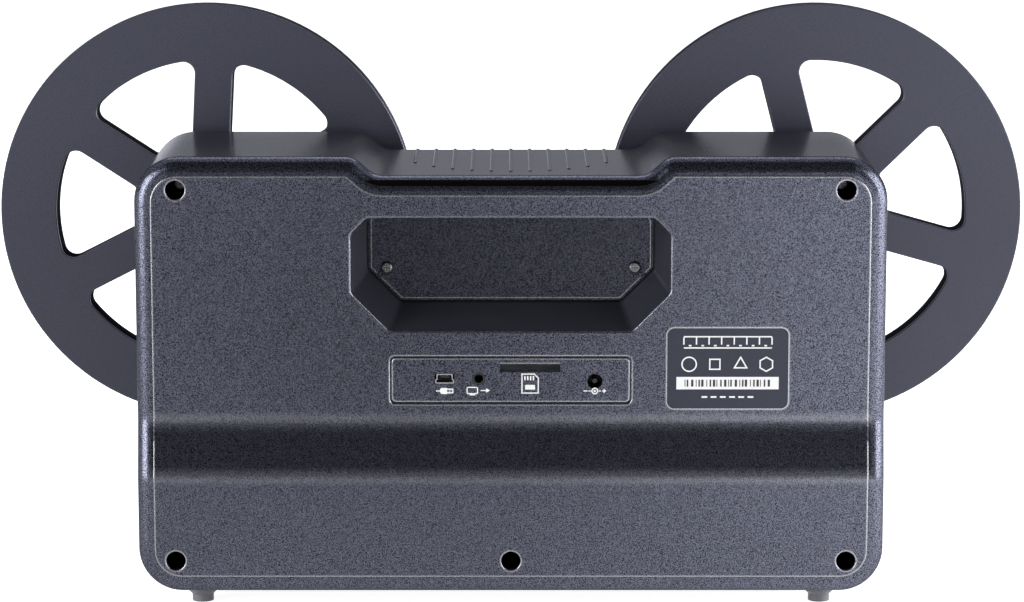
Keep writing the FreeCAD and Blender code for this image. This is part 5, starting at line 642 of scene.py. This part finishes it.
@dataclass(frozen=True)
class Face:
    """A flat face that carries print: its origin in millimetres, and whether it is read from behind."""

    origin: Triple
    rear: bool

    @classmethod
    def on(cls, node: str, rear: bool, lift: float = 0.0) -> "Face":
        """Take the middle of a node's rear or front, moved toward +Y by a lift."""
        low, high = box_mm(node)
        return cls(((low.x + high.x) / 2, (high if rear else low).y + lift, (low.z + high.z) / 2), rear)

    def matrix(self) -> Matrix:
        """Turn the reader's right, up and outward millimetres into the model's metres.

        Returns:
            The transform.
        """
        right, out = ((-1, 0, 0), (0, 1, 0)) if self.rear else ((1, 0, 0), (0, -1, 0))
        turn = Matrix((right, (0, 0, 1), out)).transposed().to_4x4()
        return Matrix.Translation(Vector(self.origin) * MM) @ turn @ Matrix.Scale(MM, 4)


def round_points(middle: Point, radius: float, gap: float = 0.0, steps: int = 32,
                 first: float = 90.0) -> list[Point]:
    """Return points round a circle, or round the part of it that a gap leaves.

    Args:
        middle: the circle's middle.
        radius: its radius.
        gap: the gap's width in degrees.
        steps: how many steps the line has.
        first: the angle of the gap's middle in degrees, counterclockwise from the reader's right.

    Returns:
        The points, counterclockwise from the gap.
    """
    start = math.radians(first + gap / 2)
    sweep = math.radians(360 - gap)
    last = steps if gap else steps - 1
    return [(middle[0] + radius * math.cos(start + sweep * step / steps),
             middle[1] + radius * math.sin(start + sweep * step / steps)) for step in range(last + 1)]


def rounded_box(width: float, height: float, radius: float, steps: int = 6) -> list[Point]:
    """Return the outline of a rectangle with rounded corners, counterclockwise round the origin.

    Args:
        width: its width.
        height: its height.
        radius: its corners' radius.
        steps: how many steps each corner has.

    Returns:
        The points.
    """
    right, up = width / 2 - radius, height / 2 - radius
    middles = ((right, up), (-right, up), (-right, -up), (right, -up))
    return [point for corner, middle in enumerate(middles)
            for point in round_points(middle, radius, 270.0, steps, 90.0 * corner - 135.0)]


class FlatShapes:
    """Thin closed shapes on one face, gathered as one piece. Points are in the reader's millimetres."""

    sunk = 0.02

    def __init__(self, name: str, face: Face, shapes: Shapes, rise: float = 0.04) -> None:
        """Draw the shapes flat.

        Args:
            name: the piece's name.
            face: the face that the shapes lie on.
            shapes: this class's own methods, each with what it is called with.
            rise: how far the shapes stand out of the face.
        """
        self.name, self.face, self.rise = name, face, rise
        self.mesh = bmesh.new()
        for draw, *given in shapes:
            draw(self, *given)

    def area(self, outline: Sequence[Point]) -> None:
        """Add a filled outline."""
        self.mesh.faces.new([self.mesh.verts.new((*point, -self.sunk)) for point in outline])

    def bar(self, middle: Point, width: float, height: float) -> None:
        """Add a filled rectangle round its middle."""
        (u, v), half, rise = middle, width / 2, height / 2
        self.area([(u - half, v - rise), (u + half, v - rise), (u + half, v + rise), (u - half, v + rise)])

    def stroke(self, points: Sequence[Point], width: float, closed: bool = False) -> None:
        """Add a line of even width with mitred corners.

        Args:
            points: the line's points.
            width: the line's width.
            closed: whether the line runs back to its first point.
        """
        path = [Vector(point) for point in points]
        ends = path[1:] + path[:1] if closed else path[1:]
        runs = [(end - start).normalized() for start, end in zip(path, ends)]
        normals = [Vector((-run.y, run.x)) for run in runs]
        if closed:
            corners = zip(path, normals[-1:] + normals[:-1], normals)
        else:
            corners = zip(path, normals[:1] + normals, normals + normals[-1:])
        sides = []
        for point, before, after in corners:
            reach = (before + after) * (width / (1 + before.dot(after)) / 2)
            sides.append([self.mesh.verts.new((*(point + way * reach), -self.sunk)) for way in (1, -1)])
        others = sides[1:] + sides[:1] if closed else sides[1:]
        for (left, right), (next_left, next_right) in zip(sides, others):
            self.mesh.faces.new((left, right, next_right, next_left))

    def ring(self, middle: Point, radius: float, width: float, gap: float = 0.0) -> None:
        """Add a ring, open at its top by a gap in degrees."""
        self.stroke(round_points(middle, radius, gap), width, closed=not gap)

    def disc(self, middle: Point, radius: float) -> None:
        """Add a filled disc."""
        self.area(round_points(middle, radius))

    def build(self, wardrobe: Wardrobe, body: str = CASING, slot: Finish = Finish.LABEL,
              material: Finish = Finish.PALE_INK) -> Object:
        """Thicken the shapes into one piece.

        Args:
            wardrobe: the finishes.
            body: the body that the piece rides on.
            slot: the record's slot that its finish belongs to; not used.
            material: the finish that it wears.

        Returns:
            The piece.
        """
        flat = list(self.mesh.faces)
        raised = bmesh.ops.extrude_face_region(self.mesh, geom=flat, use_keep_orig=True)["geom"]
        moved = [item for item in raised if isinstance(item, bmesh.types.BMVert)]
        bmesh.ops.translate(self.mesh, vec=(0, 0, self.rise + self.sunk), verts=moved)
        bmesh.ops.recalc_face_normals(self.mesh, faces=self.mesh.faces)
        self.mesh.transform(self.face.matrix())
        data = bpy.data.meshes.new(self.name)
        self.mesh.to_mesh(data)
        self.mesh.free()
        piece = add_object(self.name, data)
        wardrobe.dress(piece, material)
        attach(piece, body)
        return piece


@dataclass
class SubAssembly:
    """A group of nodes that is dressed together, with the pieces that are added to it."""

    wardrobe: Wardrobe
    nodes: ClassVar[Names] = ()
    special: ClassVar[dict[str, Finish]] = {}

    def build(self) -> None:
        """Dress the nodes and add the pieces."""
        for node in self.nodes:
            self.wardrobe.dress_node(node, self.special.get(node))
        for piece in self.pieces():
            log.info("%s: %s rides on %s", type(self).__name__, piece.name, piece["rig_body"])
        log.info("%s: %d nodes dressed", type(self).__name__, len(self.nodes))

    def pieces(self) -> list[Object]:
        """Return the added pieces, which most sub-assemblies don't have."""
        return []


@dataclass
class Casing(SubAssembly):
    """The rear cover and the front housing with their screws and feet."""

    nodes: ClassVar[Names] = (
        "rear_cover", "front_housing", "cover_screws", "grip_screws", "inner_screws", "rubber_feet")
    special: ClassVar[dict[str, Finish]] = {"grip_screws": Finish.DARK_STEEL}
    recess_half: float = 66.5
    recess_height: Point = (113.5, 163.5)
    recess_depth: float = 28.0
    recess_soft: float = 0.5
    floor_depth: Point = (31.0, 26.5)
    floor_soft: float = 0.3
    wall_foot: float = 0.3
    wall_soft: float = 0.2
    rim: float = 1.3
    edge_depth: float = 0.6
    side_border: float = 7.5
    top_border: float = 14.6
    border_depth: Point = (2.6, 0.7)
    corner: float = 14.0
    step: float = 4.0
    band: Point = (55.6, 78.8)
    band_inset: float = 5.5
    band_soft: float = 4.0
    bends: Point = (56.2, 79.2)
    bend_half: float = 0.4
    bend_soft: float = 3.6
    well_reach: float = 5.0
    screw_reach: float = 1.6
    crisp: float = 0.1
    past: float = 1.0

    @classmethod
    def places(cls) -> dict[str, Regions]:
        """Find where the rear cover's skin differs.

        Returns:
            The regions by the field of the plastic: where painted edge highlights may show, the painted
            shade where less light reaches, the painted highlights on the panel's bends, the recess's smooth
            walls, the screw wells painted near black as shade, and what gets no painted edge highlight.
        """
        face, (low, high), (band_low, band_high) = panel_y(), box_mm("rear_cover"), cls.band
        front, out, inner = face - cls.edge_depth, high.y + cls.past, high.x - cls.side_border
        levels = ((band_high, high.z), cls.band, (low.z, band_low))
        edges = [Region.across(high.x, (front + cls.step * part, out), level, cls.crisp)
                 for part, level in zip((0.0, 0.5, 1.0), levels)]
        # The recess floor, the border's inner part and the band's slope get painted shade.
        recess, walls, floor = (
            Region.across(cls.recess_half, (face - deep, face - shallow), cls.recess_height, soft)
            for deep, shallow, soft in ((cls.recess_depth, 0.0, cls.recess_soft),
                                        (cls.recess_depth - cls.wall_foot, cls.rim, cls.wall_soft),
                                        (*cls.floor_depth, cls.floor_soft)))
        border = Region.across(high.x - cls.corner, tuple(face - depth for depth in cls.border_depth),
                               (high.z - cls.top_border, high.z), cls.crisp)
        slope = Region.across(inner, (front, out), (band_low + cls.band_inset, band_high - cls.band_inset),
                              cls.band_soft)
        # Painted highlights lighten the panel's two bends.
        bends = [Region.across(inner, (front, out), (level - cls.bend_half, level + cls.bend_half),
                               cls.bend_soft) for level in cls.bends]
        return {"edges_in": (*edges, recess), "painted_shade": (floor, border, slope), "polished": (*bends,),
                "smooth": (walls,), "shaded_wells": cls.cover_wells(face),
                "unhighlit_edges": (*cls.grip_wells(), PortPanel.sockets())}

    @classmethod
    def grip_wells(cls) -> Regions:
        """Find the recess floor round each grip screw.

        Returns:
            Its two regions.
        """
        (low, high), reach = box_mm("grip_screws"), cls.screw_reach
        head = high.z - low.z
        return tuple(Region((left - reach, low.y, low.z - reach),
                            (left + head + reach, high.y + 2 * cls.past, high.z + reach))
                     for left in (low.x, high.x - head))

    @classmethod
    def cover_wells(cls, face: float) -> Regions:
        """Find the wells of the upper and the lower cover screws.

        Args:
            face: the Y of the upper rear panel.

        Returns:
            A region for each row.
        """
        (low, high), reach = box_mm("cover_screws"), cls.well_reach
        # These wells get painted near black as shade.
        return tuple(Region.across(high.x + reach, (low.y, top - cls.rim), level, cls.wall_soft)
                     for top, level in ((face, (high.z - reach * 2, high.z + cls.past)),
                                        (face + cls.step, (low.z - cls.past, low.z + reach * 2))))


@dataclass
class PortPanel(SubAssembly):
    """The port plate with its sockets, and a plain mark below each socket."""

    nodes: ClassVar[Names] = ("port_plate", "data_port", "video_jack", "card_reader", "power_jack")
    special: ClassVar[dict[str, Finish]] = {"port_plate": Finish.COVER, "data_port": Finish.PORT_SHELL}
    plate_sink: float = 0.3
    data_wall: float = 0.5
    rim_inset: float = 2.5
    mark_height: float = 4.7
    card_mark_height: float = 7.75
    line: float = 0.45

    @classmethod
    def sockets(cls) -> Region:
        """Return the region of the plate inside its rim, where the sockets are."""
        return Region.within("port_plate", cls.rim_inset, 1.0, 1.0)

    @classmethod
    def data_insert(cls) -> Region:
        """Return the region of the data port's plastic tongue, inside its shell."""
        return Region.within("data_port", cls.data_wall, 1.0, -cls.data_wall, 0.05)

    def pieces(self) -> list[Object]:
        """Build each mark in line with its socket.

        Returns:
            The four marks.
        """
        built = []
        plate_low, plate_high = box_mm("port_plate")
        for node, (name, height, shapes) in self.marks().items():
            low, high = box_mm(node)
            face = Face(((low.x + high.x) / 2, plate_high.y, plate_low.z + height), True)
            built.append(FlatShapes(name, face, shapes).build(self.wardrobe))
        return built

    def marks(self) -> dict[str, tuple[str, float, Shapes]]:
        """Draw a plug, a screen with an arrow out of it, a memory card, and a round plug's polarity.

        Returns:
            By each socket's node, the mark's name, the height of its middle above the plate's lower edge,
            and its shapes.
        """
        area, bar, stroke = FlatShapes.area, FlatShapes.bar, FlatShapes.stroke
        line, level, sign, aside = self.line, self.mark_height, 1.6, 3.8
        screen = [(u - 2.6, v + 0.2) for u, v in rounded_box(4.2, 2.6, 0.5, 3)]
        card = [(-3.3, -3.9), (3.3, -3.9), (3.3, 2.3), (1.7, 3.9), (-3.3, 3.9)]
        return {
            "data_port": ("data_mark", level, [
                (stroke, [(-3.5, 0), (-1.9, 0)], line),
                (area, [(-1.9, -0.6), (-1.3, -1.25), (1.0, -1.25), (1.0, 1.25), (-1.3, 1.25), (-1.9, 0.6)]),
                (stroke, [(1.0, -0.75), (3.3, -0.75), (3.3, 0.75), (1.0, 0.75)], line),
                *((bar, (2.1, side * 0.27), 0.5, 0.26) for side in (-1, 1))]),
            "video_jack": ("video_mark", level, [
                (stroke, screen, line, True), (bar, (-2.6, -1.6), 2.2, line), (bar, (1.9, 0.2), 2.2, line),
                (area, [(3.0, -0.75), (4.6, 0.2), (3.0, 1.15)])]),
            "card_reader": ("card_mark", self.card_mark_height, [
                (stroke, card, line, True),
                *((bar, (-2.1 + 1.15 * step, 2.2), 0.55, 1.7) for step in range(4)),
                (bar, (0, -1.5), 4.0, 1.9)]),
            "power_jack": ("power_mark", level, [
                *((bar, (side * place, 0), width, height) for side in (-1, 1)
                  for place, width, height in ((aside, sign, line), (2.05, 1.1, line * 0.8))),
                *((bar, (aside, side * (sign + line) / 4), line, (sign - line) / 2) for side in (1, -1)),
                (FlatShapes.ring, (0, 0), 1.15, line), (FlatShapes.disc, (0, 0), 0.5)]),
        }


@dataclass
class RatingLabel(SubAssembly):
    """The rating label, printed with plain shapes in rows.

    The width of the bars, and the gap between them, are each a least one and the step up from it.
    """

    nodes: ClassVar[Names] = ("rating_label",)
    title_width: float = 35.6
    title_height: float = 4.6
    title_up: float = 10.7
    frame_count: int = 7
    hole: Point = (1.1, 0.6)
    hole_up: float = 0.95
    row_up: float = 1.7
    row_pitch: float = 10.4
    row_radius: float = 2.9
    strip_width: float = 41.4
    strip_height: float = 5.1
    strip_up: float = -6.05
    bars_lift: float = 0.03
    bars_share: float = 0.42
    bars_height: float = 0.56
    bar_width: Point = (0.34, 0.3)
    bar_gap: Point = (0.5, 0.22)
    note_width: float = 22.4
    note_up: float = -11.75
    note_count: int = 6
    dash_share: float = 0.62
    dash_height: float = 0.7
    line: float = 0.55

    def pieces(self) -> list[Object]:
        """Build the rows of print.

        Returns:
            The five pieces.
        """
        strip = [(FlatShapes.bar, (0, self.strip_up), self.strip_width, self.strip_height)]
        rows = {"label_film_strip": self.title(), "label_outlines": self.symbols(),
                "label_pale_strip": strip, "label_dashes": self.note()}
        face, above = Face.on("rating_label", True), Face.on("rating_label", True, self.bars_lift)
        built = [FlatShapes(name, face, shapes).build(self.wardrobe) for name, shapes in rows.items()]
        bars = FlatShapes("label_bars", above, self.bars())
        return built + [bars.build(self.wardrobe, material=Finish.DARK_INK)]

    @staticmethod
    def row(count: int, pitch: float, up: float, width: float, height: float) -> Shapes:
        """Return bars of one size in a row round the middle."""
        return [(FlatShapes.bar, (pitch * (step - (count - 1) / 2), up), width, height)
                for step in range(count)]

    def title(self) -> Shapes:
        """Draw a length of film: two edges, the frames between them and the holes below.

        Returns:
            The shapes.
        """
        up, height, line, count = self.title_up, self.title_height, self.line, self.frame_count
        pitch, below = self.title_width / count, self.hole[0]
        edges = ((FlatShapes.bar, (0, up + side * height / 2), self.title_width, line) for side in (1, -1))
        return [*edges,
                *self.row(count + 1, pitch, up + below / 2, line, height - line - below),
                *self.row(count, pitch, up - height / 2 + self.hole_up, *self.hole)]

    def symbols(self) -> Shapes:
        """Draw a ring, a square, a triangle and a hexagon in a row.

        Returns:
            The shapes.
        """
        rings = ((-1.5, 32, 90), (-0.5, 4, 45), (0.5, 3, 90), (1.5, 6, 90))
        return [(FlatShapes.stroke, round_points((place * self.row_pitch, self.row_up), self.row_radius,
                                                 steps=corners, first=first), self.line, True)
                for place, corners, first in rings]

    def bars(self) -> Shapes:
        """Draw upright bars of uneven widths on the pale strip.

        Returns:
            The shapes.
        """
        shapes = []
        end, height = self.strip_width * self.bars_share, self.strip_height * self.bars_height
        edge, step = -end, 0
        while edge < end:
            width = self.bar_width[0] + self.bar_width[1] * ((step * 5 + step // 3) % 4)
            shapes.append((FlatShapes.bar, (edge + width / 2, self.strip_up), width, height))
            edge += width + self.bar_gap[0] + self.bar_gap[1] * (step * 3 % 4)
            step += 1
        return shapes

    def note(self) -> Shapes:
        """Draw a row of short dashes."""
        pitch = self.note_width / self.note_count
        return self.row(self.note_count, pitch, self.note_up, pitch * self.dash_share, self.dash_height)


@dataclass
class Reel(SubAssembly):
    """One reel on its spindle, with its flip latch."""

    side: Side = Side.SUPPLY

    def __post_init__(self) -> None:
        """Name this side's nodes."""
        pieces = ("reel_core", "reel_flange", "spindle", "latch")
        self.nodes = tuple(f"{self.side.value}_{piece}" for piece in pieces)


@dataclass
class FrontPanel(SubAssembly):
    """The display behind its window, and the keys with their symbols."""

    nodes: ClassVar[Names] = (
        "display_window", "display_module", "display_ribbon", "key_board", "power_button",
        "previous_button", "record_button", "next_button", "menu_button")
    screen_margin: float = 2.4
    surround: float = 2.2
    screen_corner: float = 1.5
    screen_thickness: float = 0.4
    screen_reach: float = 5.0
    line: float = 0.5

    @classmethod
    def active_area(cls) -> Region:
        """Return the region of the display's active area."""
        edge = cls.screen_margin + cls.surround
        return Region.within("display_window", edge, cls.screen_reach, cls.screen_reach, 0.1)

    def pieces(self) -> list[Object]:
        """Build the screen, and on the keys an open ring, two arrowheads, a dot in a ring and bars.

        Returns:
            The screen and the five symbols.
        """
        area, bar, ring, line = FlatShapes.area, FlatShapes.bar, FlatShapes.ring, self.line
        symbols = {
            "power": [(ring, (0, -0.1), 1.5, line, 80.0), (bar, (0, 1.1), line, 1.7)],
            "previous": [(area, [(-1.6, 0), (1.1, -1.6), (1.1, 1.6)])],
            "record": [(FlatShapes.disc, (0, 0), 0.9), (ring, (0, 0), 1.7, line * 0.8)],
            "next": [(area, [(1.6, 0), (-1.1, 1.6), (-1.1, -1.6)])],
            "menu": [(bar, (0, row), 3.0, line) for row in (-1.0, 0.0, 1.0)],
        }
        built = [self.screen()]
        for key, shapes in symbols.items():
            mark = FlatShapes(f"{key}_symbol", Face.on(f"{key}_button", False), shapes)
            built.append(mark.build(self.wardrobe, f"{key}_button", Finish.KEY))
        return built

    def screen(self) -> Object:
        """Build the display's dark glass on its module, behind the window.

        Returns:
            The screen.
        """
        low, high = box_mm("display_window")
        middle, size = (low + high) / 2, high - low - Vector((2, 0, 2)) * self.screen_margin
        face = Face((middle.x, box_mm("display_module")[0].y, middle.z), False)
        sheet = [(FlatShapes.area, rounded_box(size.x, size.z, self.screen_corner))]
        screen = FlatShapes("display_sheet", face, sheet, self.screen_thickness)
        return screen.build(self.wardrobe, CASING, Finish.WINDOW, Finish.SCREEN)


@dataclass
class FilmPath(SubAssembly):
    """The four film rollers on their pins."""

    nodes: ClassVar[Names] = (
        "supply_outer_roller", "supply_inner_roller", "takeup_outer_roller", "takeup_inner_roller",
        "roller_pins")


@dataclass
class FilmGate(SubAssembly):
    """The gate block with its optics, its door and the pressure plate."""

    nodes: ClassVar[Names] = (
        "gate_block", "gate_door", "pressure_plate", "hinge_pin", "light_diffuser", "lamp_board",
        "sensor_board", "lens_barrel", "lens_glass")


@dataclass
class Inside(SubAssembly):
    """The chassis, the drives, the brakes and the main board."""

    nodes: ClassVar[Names] = (
        "main_board", "board_tray", "chassis_plate", "shaft_bushes", "brake_felt", "brake_disc",
        "clutch_felt", "clutch_disc", "clutch_spring", "takeup_gear", "takeup_pinion", "takeup_motor",
        "crank_gear", "advance_pinion", "advance_motor", "claw_studs", "film_claw")


@dataclass(frozen=True)
class Softbox:
    """One soft lamp that faces the object. Lengths are in metres."""

    name: str
    place: Triple
    size: Point
    power: float
    aim: Triple = (0.0, 0.0, 0.1)

    def hang(self) -> None:
        """Hang the lamp."""
        light = bpy.data.lights.new(self.name, "AREA")
        light.shape = "RECTANGLE"
        light.size, light.size_y = self.size
        light.energy = self.power
        lamp = add_object(self.name, light)
        lamp.location = self.place
        lamp.rotation_euler = (Vector(self.place) - Vector(self.aim)).to_track_quat("Z", "Y").to_euler()
        lamp.visible_camera = False


@dataclass
class Studio:
    """The floor, the lights, the world and the camera.

    Lengths are in metres. The world's spans are parts of a direction's unit length: low is toward the
    ground, high is up, deep is toward +Y and across is toward +X.
    """

    floor_size: float = 14.0
    floor_grey: float = 0.86
    glow_reach: Point = (0.35, 1.2)
    near_glow: float = 0.9
    dim_middle: Point = (0.06, 1.0)
    dim_reach: Point = (0.27, 0.75)
    dim_core: float = 0.4
    dim_glow: float = 0.05
    right_reach: Point = (0.05, -0.35)
    right_glow: float = 2.4
    room: float = 0.02
    horizon: float = 0.01
    backdrop: float = 0.33
    backdrop_deep: Point = (0.15, -0.2)
    overhead: float = 0.6
    overhead_high: Point = (0.25, 0.7)
    strip_high: Point = (0.13, 0.06)
    strip_across: Point = (-0.06, 0.04)
    strip_glow: float = 0.35
    skyline: float = 1.1
    skyline_high: Point = (0.035, 0.025)
    skyline_deep: Point = (0.1, 0.3)
    gap_middle: float = -0.02
    gap_reach: Point = (0.02, 0.12)
    gap_glow: float = 0.4
    tint: Colour = (0.86, 0.88, 1.0)
    camera_place: Triple = (-0.00047, 1.35975, 0.3336)
    camera_pitch: float = 8.986
    lens: float = 114.8
    sensor: float = 36.0
    clip: Point = (0.01, 50.0)
    lamps: tuple[Softbox, ...] = (
        Softbox("left_softbox", (1.27, 0.8, 0.5), (1.05, 1.1), 28.0),
        Softbox("right_softbox", (-1.45, 0.39, 0.5), (1.5, 1.2), 38.0),
        Softbox("reel_softbox", (0.0, -1.6, 1.5), (1.6, 0.8), 14.0),
    )

    def build(self) -> None:
        """Build the whole studio."""
        self.floor()
        self.world()
        for lamp in self.lamps:
            lamp.hang()
        self.camera()

    @staticmethod
    def seen(graph: Graph) -> NodeSocket:
        """Return a mask of what the camera sees, also through glass."""
        rays = graph.node("LightPath").outputs
        return graph.most(rays["Is Camera Ray"], rays["Is Transmission Ray"])

    def floor(self) -> None:
        """Lay a pale floor that turns plain white away from the object and keeps its shadow.

        Gloss sees the same floor, dimmer behind the rear panel and brighter toward its right.
        """
        half = self.floor_size / 2
        mesh = bpy.data.meshes.new("studio_floor")
        corners = [(-half, -half, 0), (half, -half, 0), (half, half, 0), (-half, half, 0)]
        mesh.from_pydata(corners, [], [(0, 1, 2, 3)])
        floor = add_object("studio_floor", mesh)
        new = Paint("pale_floor")
        place = new.node("TexCoord").outputs["Object"]
        glow = new.ramp(new.vector("LENGTH", place), *self.glow_reach, self.near_glow, 1.0)
        new.put(Base_Color=(self.floor_grey, self.floor_grey, self.floor_grey, 1.0), Roughness=0.9,
                Specular_IOR_Level=0.0, Emission_Color=(*WHITE, 1.0),
                Emission_Strength=new.times(self.seen(new), glow))
        offset = new.vector("SUBTRACT", place, (*self.dim_middle, 0.0))
        out = new.vector("LENGTH", new.vector("DIVIDE", offset, (*self.dim_reach, 1.0)))
        across = new.node("SeparateXYZ", place).outputs["X"]
        aside = new.ramp(across, *self.right_reach, 1.0, self.right_glow)
        dim = new.ramp(out, self.dim_core, 1.0, self.dim_glow, 1.0)
        shine = new.node("Emission", Strength=new.times(dim, aside))
        glossy = new.node("LightPath").outputs["Is Glossy Ray"]
        both = new.node("MixShader", glossy, new.shader.outputs[0], shine.outputs[0])
        new.feed(new.tree.nodes["Material Output"].inputs, {"Surface": both.outputs[0]})
        new.material.cycles.emission_sampling = "NONE"
        mesh.materials.append(new.material)

    def world(self) -> None:
        """Make a surround that the camera sees white, and that lights the object as a dim room.

        The room has a pale backdrop with a bright strip low on it, toward -Y, and a bright skyline with a
        gap in it, toward +Y.
        """
        world = bpy.data.worlds.new("studio")
        bpy.context.scene.world = world
        world.use_nodes = True
        sky = Graph(world.node_tree)
        across, deep, high = sky.node("SeparateXYZ", sky.node("TexCoord").outputs["Generated"]).outputs
        upper = sky.ramp(high, *self.overhead_high, self.backdrop, self.overhead)
        lower = sky.times(sky.ramp(high, *self.strip_high),
                          sky.ramp(across, *self.strip_across, self.strip_glow, 1.0))
        drop = sky.times(sky.ramp(deep, *self.backdrop_deep), sky.most(upper, lower))
        room = sky.most(sky.ramp(high, -self.horizon, self.horizon, 1.0, self.room), drop)
        aside = sky.math("ABSOLUTE", sky.math("SUBTRACT", across, self.gap_middle))
        line = sky.times(sky.ramp(sky.math("ABSOLUTE", high), *self.skyline_high),
                         sky.ramp(deep, *self.skyline_deep),
                         sky.ramp(aside, *self.gap_reach, self.gap_glow, 1.0), self.skyline)
        plain = self.seen(sky)
        sky.feed(world.node_tree.nodes["Background"].inputs,
                 {"Strength": sky.most(room, line, plain), "Color": sky.mix(plain, self.tint, WHITE)})

    def camera(self) -> None:
        """Place the camera at the photograph's angle."""
        data = bpy.data.cameras.new("camera")
        data.lens = self.lens
        data.sensor_width = self.sensor
        data.clip_start, data.clip_end = self.clip
        camera = add_object("camera", data)
        camera.location = self.camera_place
        camera.rotation_euler = (math.radians(90 - self.camera_pitch), 0, math.radians(180))
        bpy.context.scene.camera = camera


def main() -> None:
    """Build the sub-assemblies and the studio."""
    logging.basicConfig(level=logging.INFO, format="%(message)s")
    bpy.context.scene.view_settings.view_transform = "Standard"
    wardrobe = Wardrobe()
    parts = [Casing(wardrobe), PortPanel(wardrobe), RatingLabel(wardrobe)]
    parts += [Reel(wardrobe, side) for side in Side]
    parts += [FrontPanel(wardrobe), FilmPath(wardrobe), FilmGate(wardrobe), Inside(wardrobe)]
    for part in parts:
        part.build()
    Studio().build()


if __name__ == "__main__":
    main()
